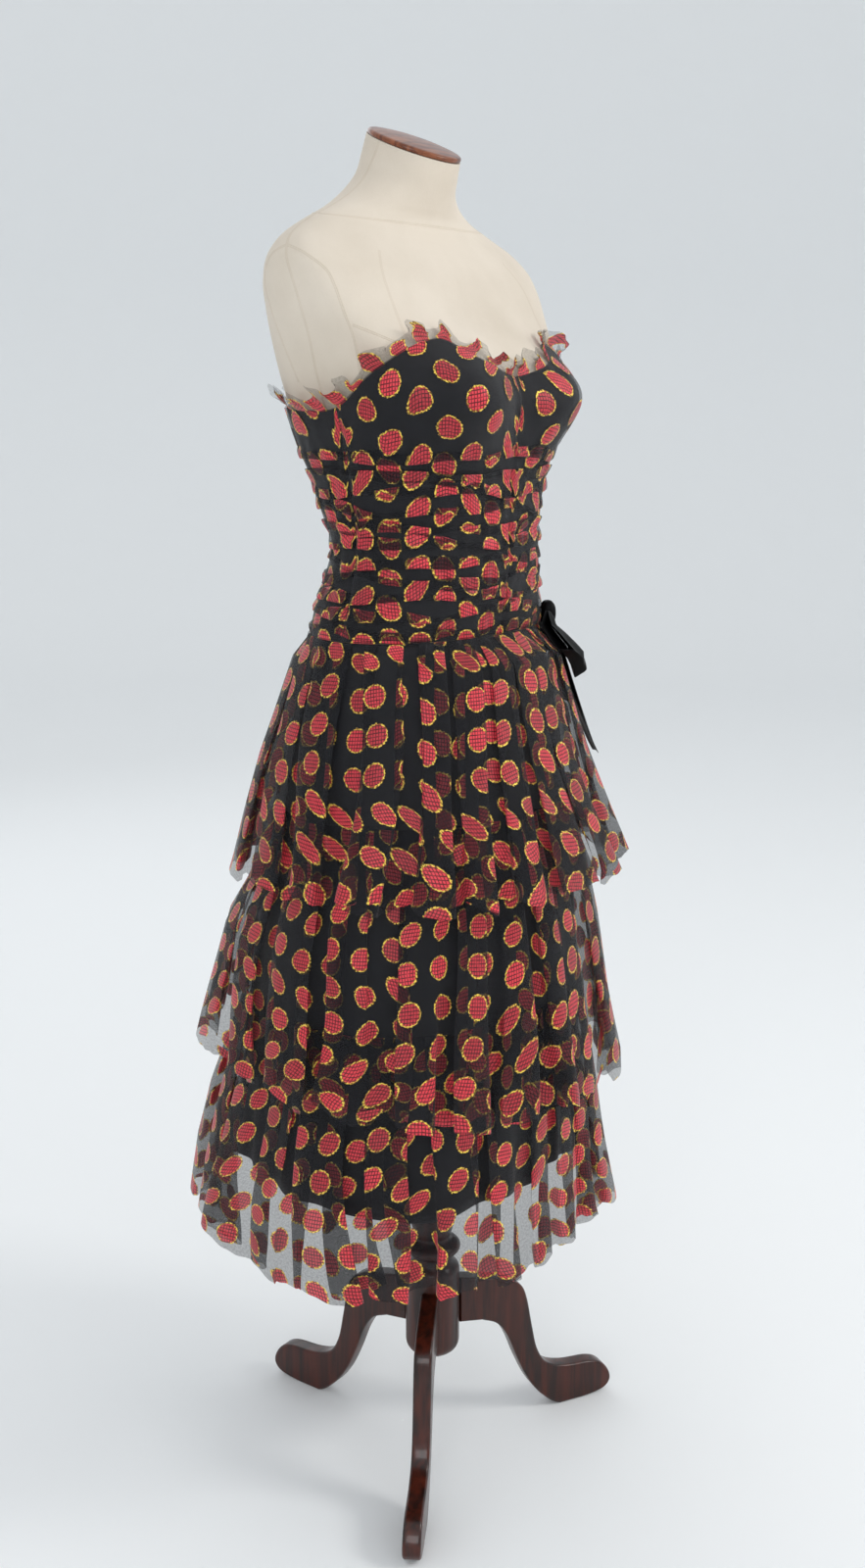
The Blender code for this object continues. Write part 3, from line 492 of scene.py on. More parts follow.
    mesh_holes = add_node(
        tree, "MapRange", {0: ragged, 1: 0.35, 2: 0.65, 3: veil - 0.07, 4: veil + 0.07}
    ).outputs["Result"]
    cover = add_node(tree, "Mix", {0: dot, 2: mesh_holes, 3: 0.95}, data_type="FLOAT").outputs[0]
    metal = add_node(tree, "Math", {0: dot, 1: rim}, operation="MULTIPLY").outputs["Value"]
    metal = add_node(tree, "Math", {0: metal, 1: 0.25}, operation="MULTIPLY").outputs["Value"]
    rough = add_node(tree, "Mix", {0: dot, 2: 0.85, 3: 0.48}, data_type="FLOAT").outputs[0]
    height = add_node(
        tree, "Math", {0: shade, 1: -0.45, 2: dot}, operation="MULTIPLY_ADD"
    ).outputs["Value"]
    bump = add_node(tree, "Bump", {"Strength": 0.5, "Distance": 0.0004, "Height": height})
    set_inputs(
        tree,
        shader,
        {
            "Base Color": colour,
            "Alpha": cover,
            "Metallic": metal,
            "Roughness": rough,
            "Normal": bump.outputs["Normal"],
            "Sheen Weight": 0.12,
            "Specular IOR Level": 0.35,
        },
    )
    return material


def lining_satin():
    """Black acetate lining, woven: a faint bluish sheen with fine upright streaks."""
    material, tree, shader = new_material("black_acetate_lining")
    place = add_node(tree, "TexCoord").outputs["UV"]
    drawn = add_node(tree, "Mapping", {"Vector": place, "Scale": (420.0, 14.0, 1.0)}).outputs["Vector"]
    streak = add_node(tree, "TexNoise", {"Vector": drawn, "Scale": 1.0, "Detail": 3.0}).outputs["Fac"]
    colour = add_node(
        tree, "Mix", {0: streak, 6: linear("#0E0E12"), 7: linear("#1D1E25")}, data_type="RGBA"
    ).outputs[2]
    bump = add_node(tree, "Bump", {"Strength": 0.25, "Distance": 0.0004, "Height": streak})
    set_inputs(
        tree,
        shader,
        {"Base Color": colour, "Roughness": 0.62, "Normal": bump.outputs["Normal"], "Sheen Weight": 0.2},
    )
    return material


def bow_satin():
    """Black polyester satin ribbon: smooth and dark, with long soft highlights."""
    material, tree, shader = new_material("black_satin_ribbon")
    place = add_node(tree, "TexCoord").outputs["UV"]
    drawn = add_node(tree, "Mapping", {"Vector": place, "Scale": (60.0, 1100.0, 1.0)}).outputs["Vector"]
    thread = add_node(tree, "TexNoise", {"Vector": drawn, "Scale": 1.0, "Detail": 2.0}).outputs["Fac"]
    colour = add_node(
        tree, "Mix", {0: thread, 6: linear("#050506"), 7: linear("#0C0C0E")}, data_type="RGBA"
    ).outputs[2]
    bump = add_node(tree, "Bump", {"Strength": 0.15, "Distance": 0.0002, "Height": thread})
    set_inputs(
        tree,
        shader,
        {
            "Base Color": colour,
            "Roughness": 0.46,
            "Normal": bump.outputs["Normal"],
            "Specular IOR Level": 0.1,
        },
    )
    return material


def form_canvas(name, light, dark):
    """Cream cotton canvas, plain woven and stretched over the form: matt, with a slub every few
    millimetres and faint handling marks. Its threads, 0.6 mm apart, are drawn 1.6 mm apart."""
    material, tree, shader = new_material(name)
    place = add_node(tree, "TexCoord").outputs["Object"]
    weave = add_node(tree, "TexNoise", {"Vector": place, "Scale": 620.0, "Detail": 2.0}).outputs["Fac"]
    blotch = add_node(tree, "TexNoise", {"Vector": place, "Scale": 9.0, "Detail": 5.0}).outputs["Fac"]
    worn = add_node(tree, "MapRange", {0: blotch, 1: 0.35, 2: 0.75}).outputs["Result"]
    mixed = add_node(
        tree, "Math", {0: weave, 1: 0.35, 2: worn}, operation="MULTIPLY_ADD"
    ).outputs["Value"]
    shade = add_node(tree, "MapRange", {0: mixed, 1: 0.1, 2: 1.3}).outputs["Result"]
    colour = add_node(
        tree, "Mix", {0: shade, 6: linear(light), 7: linear(dark)}, data_type="RGBA"
    ).outputs[2]
    bump = add_node(tree, "Bump", {"Strength": 0.35, "Distance": 0.0003, "Height": weave})
    set_inputs(
        tree,
        shader,
        {"Base Color": colour, "Roughness": 0.88, "Normal": bump.outputs["Normal"], "Sheen Weight": 0.1},
    )
    return material


def polished_wood(name, dark, light, along):
    """Mahogany, stained and polished: dark red-brown with pores drawn out along the grain under a
    clear glossy coat. `along` is the grain's scale per axis."""
    material, tree, shader = new_material(name)
    place = add_node(tree, "TexCoord").outputs["Object"]
    drawn = add_node(tree, "Mapping", {"Vector": place, "Scale": along}).outputs["Vector"]
    grain = add_node(
        tree, "TexNoise", {"Vector": drawn, "Scale": 1.0, "Detail": 6.0, "Distortion": 0.6}
    ).outputs["Fac"]
    bands = add_node(tree, "MapRange", {0: grain, 1: 0.38, 2: 0.66}).outputs["Result"]
    colour = add_node(
        tree, "Mix", {0: bands, 6: linear(dark), 7: linear(light)}, data_type="RGBA"
    ).outputs[2]
    bump = add_node(tree, "Bump", {"Strength": 0.08, "Distance": 0.0004, "Height": grain})
    set_inputs(
        tree,
        shader,
        {
            "Base Color": colour,
            "Roughness": 0.36,
            "Normal": bump.outputs["Normal"],
            "Specular IOR Level": 0.3,
            "Coat Weight": 0.35,
            "Coat Roughness": 0.1,
        },
    )
    return material


def zip_enamel():
    """Black enamelled zinc of the zip: smooth, with lighter specks painted on as highlights so that the
    black metal shows.
    """
    material, tree, shader = new_material("black_enamelled_zinc")
    place = add_node(tree, "TexCoord").outputs["Object"]
    wear = add_node(tree, "TexNoise", {"Vector": place, "Scale": 900.0, "Detail": 3.0}).outputs["Fac"]
    # Lighter specks are painted highlights, mixed into the enamel's colour.
    worn = add_node(tree, "MapRange", {0: wear, 1: 0.55, 2: 0.75}).outputs["Result"]
    colour = add_node(
        tree, "Mix", {0: worn, 6: linear("#26262A"), 7: linear("#6C6C74")}, data_type="RGBA"
    ).outputs[2]
    rough = add_node(tree, "MapRange", {0: wear, 3: 0.3, 4: 0.5}).outputs["Result"]
    set_inputs(tree, shader, {"Base Color": colour, "Roughness": rough, "Metallic": 0.7})
    return material


def place_at_pole(points):
    """Moves points from the pole's own frame to the scene's."""
    return points + np.array([POLE_X, POLE_Y, 0.0])


def grid_faces(rows, columns, closed):
    """The numbers of a grid's points, and its quads. A closed grid joins its last column to its
    first."""
    index = np.arange(rows * columns).reshape(rows, columns)
    if closed:
        index = np.concatenate([index, index[:, :1]], axis=1)
    corners = [index[:-1, :-1], index[:-1, 1:], index[1:, 1:], index[1:, :-1]]
    return index, np.stack(corners, axis=-1).reshape(-1, 4).tolist()


def add_grid(name, points, material, uv=None, closed=False):
    """A mesh from a grid of points, rows from the bottom up and columns anticlockwise seen from
    above, so that its faces look outwards. A closed grid's UV map has one column more than its
    points."""
    faces = grid_faces(*points.shape[:2], closed)[1]
    mesh = bpy.data.meshes.new(name)
    mesh.from_pydata(points.reshape(-1, 3).tolist(), [], faces)
    if uv is not None:
        spread = [uv[:-1, :-1], uv[:-1, 1:], uv[1:, 1:], uv[1:, :-1]]
        layer = mesh.uv_layers.new(name="cloth")
        layer.data.foreach_set("uv", np.stack(spread, axis=2).reshape(-1).astype(np.float32))
    return add_piece(name, mesh, material)


def add_piece(name, mesh, material, smooth=True):
    """An object for a finished mesh."""
    mesh.materials.append(material)
    if smooth:
        mesh.shade_smooth()
    obj = bpy.data.objects.new(name, mesh)
    bpy.context.scene.collection.objects.link(obj)
    return obj


def dress_up(piece, slot, *nodes):
    """Puts a piece on its body and hides the solids that it stands in for; `slot` is not used."""
    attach(piece, DRESS)
    if nodes:
        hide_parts(*nodes)


def add_wall(piece, offset):
    """Gives a cloth the wall that it shows: inwards at -1, to both sides at 0."""
    wall = piece.modifiers.new("wall", "SOLIDIFY")
    wall.thickness = SHOWN_WALL
    wall.offset = offset


def smooth_read(rows, at, column):
    """One column of a table read at `at` from a smooth cubic curve through its rows. The table's
    first column holds their places."""
    places = np.array([row[0] for row in rows], float)
    values = np.array([getattr(row, column) for row in rows], float)
    slopes = np.gradient(values, places)
    at = np.clip(at, places[0], places[-1])
    cell = np.clip(np.searchsorted(places, at) - 1, 0, len(rows) - 2)
    step = places[cell + 1] - places[cell]
    t = (at - places[cell]) / step
    rise = (1 + 2 * t) * (1 - t) ** 2 * values[cell] + t * t * (3 - 2 * t) * values[cell + 1]
    bend = t * (1 - t) ** 2 * slopes[cell] - t * t * (1 - t) * slopes[cell + 1]
    return rise + step * bend


def smooth_step(low, high, value):
    """0 below `low`, 1 above `high` and a smooth rise between."""
    share = np.clip((value - low) / (high - low), 0.0, 1.0)
    return share * share * (3 - 2 * share)


def smooth_path(points, count):
    """A Catmull-Rom curve through points, `count` steps from each point to the next."""
    points = np.asarray(points, float)
    before, after = 2 * points[:1] - points[1:2], 2 * points[-1:] - points[-2:-1]
    longer = np.concatenate([before, points, after])
    t = (np.arange(count) / count)[None, :, None]
    a, b, c, d = (longer[i : len(longer) - 3 + i, None, :] for i in range(4))
    curve = b + 0.5 * t * ((c - a) + t * ((2 * a - 5 * b + 4 * c - d) + t * (3 * (b - c) + d - a)))
    return np.concatenate([curve.reshape(-1, points.shape[1]), points[-1:]])


def moving_mean(row, reach):
    """A row of numbers, each the mean of those up to `reach` places from it."""
    kernel = np.full(2 * reach + 1, 1 / (2 * reach + 1))
    return np.convolve(np.pad(row, reach, mode="edge"), kernel, mode="valid")


def full_turn(count, start=0.0):
    """The angles of `count` columns all round, the first at `start`."""
    return np.arange(count) * 2 * math.pi / count + start


def ring_points(angle, radius, height):
    """Points at a radius round the axis, at a height."""
    across = radius * np.sin(angle)
    return np.stack([across, -radius * np.cos(angle), height + 0 * across], axis=-1)


def oval_radius(angle, half_width, front, back, square):
    """How far a rounded section reaches from its centre in the direction `angle`: the radius at
    which across**square + along**square is 1."""
    depth = np.where(np.cos(angle) >= 0, front, back)
    across = np.abs(np.sin(angle) / half_width) ** square
    along = np.abs(np.cos(angle) / depth) ** square
    return (across + along) ** (-1.0 / square)


def bust_swell(angle, height):
    """The two mounds of the bust, bell curves in angle and height, steeper below than above."""
    swell = 0.0
    spread = math.radians(BUST_SPREAD)
    rise = np.where(height > BUST_HEIGHT, BUST_ABOVE, BUST_BELOW)
    for side in (-1, 1):
        turn = (angle - side * math.radians(BUST_ANGLE)) / spread
        swell = swell + np.exp(-(turn**2) - ((height - BUST_HEIGHT) / rise) ** 2)
    return BUST_DEPTH * swell


def form_surface(angle, height, out=0.0):
    """Points of the form's canvas, or of a cloth that lies `out` from it, measured level: the
    oval of each height's section, moved back by its centre and tilted towards the neck."""
    angle, height = np.broadcast_arrays(np.asarray(angle, float), np.asarray(height, float))
    column = {name: smooth_read(FORM_SECTIONS, height, name) for name in Section._fields[1:]}
    turned = (angle + math.pi) % (2 * math.pi) - math.pi
    radius = oval_radius(turned, column["half_width"], column["front"], column["back"], column["square"])
    radius = radius + bust_swell(turned, height) + out
    across = radius * np.sin(angle)
    back = -radius * np.cos(angle)
    points = np.stack([across, column["centre"] + back, height + column["tilt"] * back], axis=-1)
    return place_at_pole(points)


def top_edge(angle):
    """Height of the bodice's sweetheart edge, the same on both sides, read smoothly."""
    turned = np.abs((np.degrees(angle) + 180) % 360 - 180)
    return smooth_read(TOP_EDGE, turned, "height")


def cloth_map(points, closed, even=True):
    """Flat cloth coordinates of a grid of points, in metres: along each row the length of cloth
    from its middle column, and up the columns the length from the bottom row, the mean of all
    columns if `even`."""
    if closed:
        points = np.concatenate([points, points[:, :1]], axis=1)
    across = np.linalg.norm(np.diff(points, axis=1), axis=-1)
    along = np.concatenate([np.zeros((len(points), 1)), np.cumsum(across, axis=1)], axis=1)
    if closed:
        width = along[:, -1].max()
        along = along * width / along[:, -1:]
    else:
        along = along - along[:, along.shape[1] // 2, None]
    rise = np.linalg.norm(np.diff(points, axis=0), axis=-1)
    if even:
        rise = rise.mean(axis=1, keepdims=True)
    up = np.concatenate([np.zeros((1, rise.shape[1])), np.cumsum(rise, axis=0)]) + 0 * along
    return np.stack([along, up], axis=-1)


def declare_cloth(points, closed):
    """Joins a closed sheet's last column to its first, on a copy, and does nothing more."""
    if closed:
        points = np.concatenate([points, points[:, :1]], axis=1)


def wobble(angle, row, size):
    """A slow, uneven rise and fall round the body, other for each row."""
    return size * (0.6 * np.sin(3 * angle + 2.1 * row) + 0.4 * np.sin(7 * angle + 3.7 * row + 1))


def ruche_path(angle):
    """Heights and lifts of the bodice net's rows, bottom first. Each ruche is a tuck: the cloth
    rises, turns at a lip and doubles back behind it. A tuck that leans low hangs down over the
    one below; one that leans high folds up. Its depth and its lip wander with the angle."""
    pitch = (RUCHE_TOP - WAIST_SEAM) / RUCHES
    heights = [np.full_like(angle, WAIST_SEAM)]
    lifts = [np.full_like(angle, 0.0006)]
    valley = heights[0]
    for k in range(RUCHES):
        foot = WAIST_SEAM + k * pitch
        lean = RUCHE_LEANS[k % len(RUCHE_LEANS)]
        lip = foot + lean * pitch + 1.4 * wobble(angle, k, RUCHE_SAG) + wobble(2.3 * angle, k + 9, 0.001)
        swell = RUCHE_HEIGHT * (1 + RUCHE_UNEVEN * np.sin(5 * angle + 1.9 * k))
        swell = swell * (1 + 0.18 * np.sin(13 * angle + 4.1 * k))
        tuck = RUCHE_TUCK * (1 + 0.45 * np.sin(4 * angle + 1.3 * k) + 0.2 * np.sin(11 * angle + k))
        after = foot + pitch + wobble(angle, k + 0.5, RUCHE_SAG)
        if lean > 0.5:
            turn = lip - tuck
            steps = (
                (0.35 * valley + 0.65 * lip, 0.86 * swell),
                (0.12 * valley + 0.88 * lip, 1.02 * swell),
                (lip + 0.0004, 1.0 * swell),
                (lip + 0.0007, 0.86 * swell),
                (lip + 0.0003, 0.70 * swell),
                (0.5 * lip + 0.5 * turn, 0.52 * swell),
                (turn - 0.0004, 0.42 * swell),
                (turn - 0.0007, 0.32 * swell),
                (turn, 0.24 * swell),
                (0.5 * turn + 0.5 * after, 0.18 * swell),
                (after, 0.15 * swell),
            )
        else:
            turn = lip + tuck
            steps = (
                (0.5 * valley + 0.5 * lip, 0.16 * swell),
                (0.4 * lip + 0.6 * turn, 0.20 * swell),
                (turn, 0.26 * swell),
                (turn + 0.0007, 0.34 * swell),
                (turn, 0.44 * swell),
                (0.5 * lip + 0.5 * turn, 0.54 * swell),
                (lip - 0.0003, 0.70 * swell),
                (lip - 0.0007, 0.86 * swell),
                (lip - 0.0003, 1.02 * swell),
                (0.85 * lip + 0.15 * after, 1.06 * swell),
                (0.5 * lip + 0.5 * after, 0.86 * swell),
                (0.2 * lip + 0.8 * after, 0.50 * swell),
                (after, 0.22 * swell),
            )
        heights += [step[0] for step in steps]
        lifts += [step[1] for step in steps]
        valley = after
    edge = top_edge(angle) + 0.0002
    start, lift = heights[-1], lifts[-1]
    for share in np.linspace(0, 1, CUP_ROWS + 1)[1:]:
        heights.append((1 - share) * start + share * edge)
        lifts.append(lift * (1 - share) ** 3 + 0.0006)
    return np.array(heights), np.array(lifts)


def bodice_panel(name, first, last, net):
    """One quarter of the bodice's net. The ruches' path is laid out from the form; its side edges
    are turned in to the seams, and short puckers run in from them."""
    at_seam = PANEL_GAP / SIDE_RADIUS
    at_zip = (ZIP_WIDTH / 2 + PANEL_GAP) / BACK_RADIUS
    first_edge = math.radians(first) + (at_zip if abs(first) == 180 else at_seam)
    last_edge = math.radians(last) - (at_zip if abs(last) == 180 else at_seam)
    angle = np.linspace(first_edge, last_edge, PANEL_COLUMNS + 1)
    heights, lifts = ruche_path(angle)
    near_seam = SIDE_RADIUS * np.minimum(angle - first_edge, last_edge - angle)
    turned = smooth_step(0.0, SEAM_TURN, near_seam)
    pucker = 0.0011 * np.exp(-near_seam / 0.016)
    pucker = pucker * np.sin(2 * math.pi * heights / 0.0105 + 3 * np.sin(40 * heights + first))
    crease = 0.0005 * np.sin(46 * angle + 60 * heights + 2 * np.sin(31 * heights))
    crease = crease + 0.0004 * np.sin(-33 * angle + 95 * heights + first)
    cup = smooth_step(RUCHE_TOP - 0.01, RUCHE_TOP + 0.03, heights)
    wrinkle = 0.0012 * cup * (0.5 + 0.5 * np.sin(19 * angle + 70 * heights + 2 * np.sin(8 * angle)))
    out = EASE + BODICE_WALL
    out = out + (0.0002 + lifts + wrinkle + (pucker + crease) * (1 - 0.5 * cup)) * turned
    points = form_surface(angle, heights, out)
    panel = add_grid(name + "_net", points, net, cloth_map(points, closed=False, even=False))
    dress_up(panel, "dotted_net", name)
    declare_cloth(points, False)


def bodice_backing(cloth):
    """The black cloth under the bodice's net, a smooth tube just off the form."""
    angle = full_turn(BACKING_COLUMNS)
    share = np.linspace(0, 1, BACKING_ROWS)[:, None]
    heights = (1 - share) * WAIST_SEAM + share * (top_edge(angle)[None, :] - 0.0006)
    points = form_surface(angle, heights, BACKING_OUT)
    uv = cloth_map(points, closed=True)
    backing = add_grid("bodice_backing", points, cloth, uv, closed=True)
    dress_up(backing, "lining_cloth")
    declare_cloth(points, True)


def top_frill(net):
    """The raw net edge above the bodice: a strip whose wave grows upwards and folds back on
    itself. Its edge comes to uneven points, some curled out and some lying on the form."""
    angle = full_turn(FRILL_COLUMNS, -math.pi)
    share = np.linspace(0, 1, FRILL_ROWS)[:, None]
    phase = FRILL_WAVES * angle + 1.5 * np.sin(4 * angle) + 0.9 * np.sin(9 * angle + 1)
    point = 1 - np.abs(np.sin(phase / 2 + 0.3))
    tooth = 1 - np.abs(np.sin(phase + 0.9 * np.sin(5 * angle)))
    rise = FRILL_HEIGHT * (0.55 + 0.62 * point + 0.10 * tooth + 0.18 * np.sin(11 * angle))
    fold = 1.2 + 0.7 * np.sin(5 * angle + 1)
    turned = angle + share * (fold * np.sin(2 * phase) / (2 * FRILL_WAVES) + 0.03 * np.sin(9 * angle))
    heights = [row.height for row in FRILL_PROFILE]
    out = np.interp(share, heights, [row.out for row in FRILL_PROFILE])
    wave = np.interp(share, heights, [row.wave for row in FRILL_PROFILE])
    curl = 0.65 * np.cos(phase) + 0.35 * np.cos(17 * angle + 2)
    spread = 1.15 + 0.5 * np.sin(7 * angle + 2) + 0.35 * np.sin(3 * angle)
    crumple = 0.0012 * share * np.sin(71 * angle + 9 * share)
    crumple = crumple + 0.0009 * share * np.sin(113 * angle - 7 * share)
    lift = np.maximum(out * spread + wave * 1.15 * curl + crumple, 0.0022 + 0.002 * share)
    points = form_surface(turned, top_edge(turned) - 0.001 + share * rise, lift)
    uv = cloth_map(points, closed=True)
    turn = np.append(angle, math.pi)
    uv[..., 0] *= 0.8
    uv[..., 1] += 0.010 + 0.004 * np.sin(5 * turn) + 0.003 * np.sin(9 * turn + 1)
    frill = add_grid("raw_net_frill", points, net, uv, closed=True)
    dress_up(frill, "dotted_net", "top_frill")
    declare_cloth(points, True)


def ring_radius(rings, angle, height):
    """Radius of a skirt cloth round the pole, straight between the rings of its table."""
    heights = [ring.height for ring in rings][::-1]
    read = {
        column: np.interp(height, heights, [getattr(ring, column) for ring in rings][::-1])
        for column in Ring._fields[1:]
    }
    return oval_radius(angle, read["half_width"], read["front"], read["back"], 2.0)


def around(angle, radius, height):
    """Points at a radius round the pole."""
    return place_at_pole(ring_points(angle, radius, height))


def lining_radius(angle, height):
    """Inner radius of the lining: it hangs from the waist seam, where it lies on the form."""
    seam = form_surface(angle, np.full_like(angle, WAIST_SEAM), EASE) - place_at_pole(np.zeros(3))
    at_seam = np.hypot(seam[..., 0], seam[..., 1])
    top, second = LINING_RINGS[0].height, LINING_RINGS[1].height
    below = ring_radius(LINING_RINGS[1:], angle, np.minimum(height, second))
    share = np.clip((height - second) / (top - second), 0, 1)
    return share * at_seam + (1 - share) * below


def skirt_lining(cloth):
    """The black underskirt: a flared tube with shallow folds that deepen to the hem."""
    angle = full_turn(LINING_COLUMNS, -math.pi)
    heights = np.linspace(HEM_LINING, WAIST_SEAM - 0.0005, LINING_ROWS)[:, None] + 0 * angle
    fall = (WAIST_SEAM - heights) / (WAIST_SEAM - HEM_LINING)
    fold = 0.5 - 0.5 * np.cos(16 * angle + 1.8 * np.sin(3 * angle) + 1.4 * fall)
    radius = lining_radius(angle + 0 * heights, heights) + LINING_WALL - 0.007 * fall**2 * fold
    uneven = 0.006 * np.sin(3 * angle + 1) + 0.004 * np.sin(8 * angle)
    heights = heights + uneven * smooth_step(0.7, 1.0, fall)
    points = around(angle, radius, heights)
    uv = cloth_map(points, closed=True)
    lining = add_grid("underskirt", points, cloth, uv, closed=True)
    add_wall(lining, -1.0)
    dress_up(lining, "lining_cloth", "skirt_lining")
    declare_cloth(points, True)


def tier_drift(tier, angle):
    """How far a tier's folds stray from even spacing, in radians of their own wave."""
    return 0.8 * np.sin(3 * angle + tier.phase) + 0.5 * np.sin(tier.second * angle)


def tier_size(tier, fall):
    """Half the depth of a tier's folds, growing from the gathers to the hem."""
    return tier.top_wave + (tier.hem_wave - tier.top_wave) * fall**WAVE_SPREAD


def tier_mean(tier, angle, height, size):
    """Mean radius of a tier, never so small that its folds touch the lining."""
    least = lining_radius(angle, height) + LINING_WALL + 0.0005 + size
    return np.maximum(ring_radius(tier.rings, angle, height), least)


def skirt_tier(tier, net):
    """A gathered tier of net. Its folds are meanders: the radius follows a wave and the angle a
    wave of twice its count, so that the cloth doubles back on itself beside each crest. Fine
    gathers start at the seam and run into the folds."""
    base = full_turn(TIER_COLUMNS, -math.pi)
    fall = np.linspace(1, 0, TIER_ROWS)[:, None]
    top, hem = tier.rings[0].height, tier.rings[-1].height
    heights = top - fall * (top - hem)
    wander = 1.1 * np.sin(3 * base + 2.4 * fall + tier.phase)
    wander = wander + 0.55 * np.sin(7 * base - 3 * fall + tier.second)
    phase = TIER_WAVES * base + math.radians(tier.phase) + tier_drift(tier, base) + wander * fall
    wave = 0.78 * np.cos(phase) + 0.22 * np.cos(tier.second * base + 2 * tier.phase)
    wave = wave * (1 + 0.25 * np.sin(4 * base + tier.second) + 0.15 * np.sin(9 * base + 2))
    doubled = 1.0 + 0.28 * np.sin(3 * base + tier.phase) + 0.20 * np.sin(8 * base + 1)
    doubled = doubled * np.interp(fall, DOUBLING_FALL, tier.doubling)
    # Towards the hem some folds open and others close, so that they end as wedges.
    wedge = 0.45 * np.sin(6 * base + 2 * tier.second) + 0.20 * np.sin(13 * base + tier.phase)
    doubled = doubled * (1 + wedge * smooth_step(0.45, 1.0, fall))
    lean = 0.9 * np.sin(4 * base + 1.7 * tier.second) * smooth_step(0.02, 0.4, fall)
    lean = lean + 0.9 * np.sin(5 * base + 4 * fall + tier.phase) * smooth_step(0.3, 1.0, fall)
    angle = base + (doubled * np.sin(2 * phase) / 2 + lean * np.cos(phase)) / TIER_WAVES
    slack = heights - tier.rings[-2].height
    near_hem = np.clip(-slack / (tier.rings[-2].height - hem), 0, 1)
    drop = tier.hem_dip * np.cos(5 * angle + tier.phase)
    drop = drop - tier.hem_tilt * np.cos(angle - math.radians(LOW_HEM_ANGLE))
    drop = drop + 0.004 * np.sin(23 * base + tier.second) + 0.0025 * np.sin(41 * base)
    drop = drop + 0.006 * np.cos(phase + 1) * smooth_step(0.75, 1.0, fall)
    drop = drop + 0.0008 * np.sin(151 * base) * smooth_step(0.94, 1.0, fall)
    heights = heights + drop * near_hem
    size = tier_size(tier, fall)
    free = 0.35 * smooth_step(0.55, 1.0, fall) * size
    radius = tier_mean(tier, angle, heights, size) - 0.6 * free + (size + free) * wave
    for gather in GATHERS:
        ripple = np.cos(gather.count * base + gather.turn + 1.5 * np.sin(5 * base + tier.second))
        radius = radius + gather.size * np.exp(-fall / gather.reach) * ripple
    radius = radius + 0.0012 * np.sin(52 * base + 5 * fall) * fall
    radius = np.maximum(radius, lining_radius(angle, heights) + LINING_WALL + 0.0006)
    points = around(angle, radius, heights)
    uv = cloth_map(points, closed=True)
    # Net gives a little crosswise, so that its dots stay round on the folds.
    uv[..., 0] *= 0.88
    turn = np.append(base, math.pi)
    swing = 0.009 * np.sin(7 * turn + tier.phase) + 0.008 * np.sin(13 * turn + tier.second)
    uv[..., 1] += (swing + 0.003 * np.sin(29 * turn + 1)) * (0.5 + 0.5 * fall)
    piece = add_grid(tier.name + "_net", points, net, uv, closed=True)
    dress_up(piece, "dotted_net", tier.name)
    declare_cloth(points, True)


def dress_outside(angle, height):
    """The furthest that the bodice and the upper tier reach at an angle and a height."""
    centre = place_at_pole(np.zeros(3))
    above = form_surface(angle, np.maximum(height, WAIST_SEAM), EASE + BODICE_WALL) - centre
    bodice = np.hypot(above[..., 0], above[..., 1]) + 1.35 * RUCHE_HEIGHT
    tier = TIERS[0]
    low = np.minimum(height, WAIST_SEAM)
    top, hem = tier.rings[0].height, tier.rings[-1].height
    size = tier_size(tier, np.clip((top - low) / (top - hem), 0, 1))
    skirt = tier_mean(tier, angle, low, size) + size + NET_WALL
    return np.where(height > WAIST_SEAM, bodice, np.maximum(skirt, bodice * (height > 1.02)))


def ribbon(part, start, along, out, pleats, satin):
    """A satin ribbon laid over the hip. `along` is measured from the knot and `out` lifts it off
    the skirt, a value for each step or point. It widens away from the knot, where its pleats
    meet."""
    droop = math.radians(part.droop)
    run = np.array([part.side * math.cos(droop), -math.sin(droop)])
    cross = np.array([part.side * math.sin(droop), math.cos(droop)])
    share = np.clip(along / part.reach, 0, 1)
    width = part.narrow + (part.wide - part.narrow) * np.sin(share * math.pi / 2) ** 0.8
    edge = np.linspace(-0.5, 0.5, RIBBON_ROWS)[:, None]
    flat = start + along[None, :, None] * run + (edge * width)[..., None] * cross
    height = BOW_HEIGHT + flat[..., 1]
    angle = math.radians(BOW_ANGLE) + flat[..., 0] / HIP_RADIUS
    pleat = np.cos(2 * math.pi * pleats * edge + 1.3 + 2.2 * share) * (1 - 0.75 * share)
    pleat = pleat * (1 + 1.3 * smooth_step(0.004, 0.012, out))
    pleat = pleat * 0.0017 + 0.0013 * np.sin(7 * edge + 9 * share) * share * (1 - 0.3 * share)
    base = dress_outside(angle, height) + part.stand_off + 0.0006
    points = around(angle, base + out + pleat, height)
    if part.side > 0:
        points = points[::-1]
    piece = add_grid(part.name + "_satin", points, satin, cloth_map(points, closed=False))
    add_wall(piece, 0.0)
    dress_up(piece, "bow_satin", part.name)
    return piece, points


def bow_loop(part, satin):
    """A loop of the bow: out along the top layer, down over a crisp end, and back along the under
    layer. Its upper edge lies on the skirt and its lower edge stands open."""
    share = (1 - np.cos(np.linspace(0.0, math.pi, 55))) / 2
    end = np.linspace(1, 0, 13)[1:-1]
    rise = part.swell * (0.75 * share**1.3 + 0.3 * np.sin(math.pi * share) ** 0.8)
    rise = rise + LOOP_ROOT - LOOP_TOP
    rise = np.concatenate([rise, rise[-1] * end, 0 * share])
    ground = np.repeat([LOOP_TOP, LOOP_UNDER], [share.size + end.size, share.size])
    along = part.reach * np.concatenate([share, 1 + 0 * end, share[::-1]])
    rise, ground = moving_mean(rise, 2), moving_mean(ground, 2)
    out = ground + rise * (1 - np.linspace(0.0, 1.0, RIBBON_ROWS)[:, None] ** 5)
    tilt = part.narrow / 2 * math.sin(math.radians(part.droop))
    start = np.array([part.side * (KNOT_HALF_WIDTH - LOOP_TUCK - KNOT_OVERLAP + tilt), 0.0])
    piece, points = ribbon(part, start, along[::-1], out[::-1], 2.5, satin)
    declare_cloth(points, False)


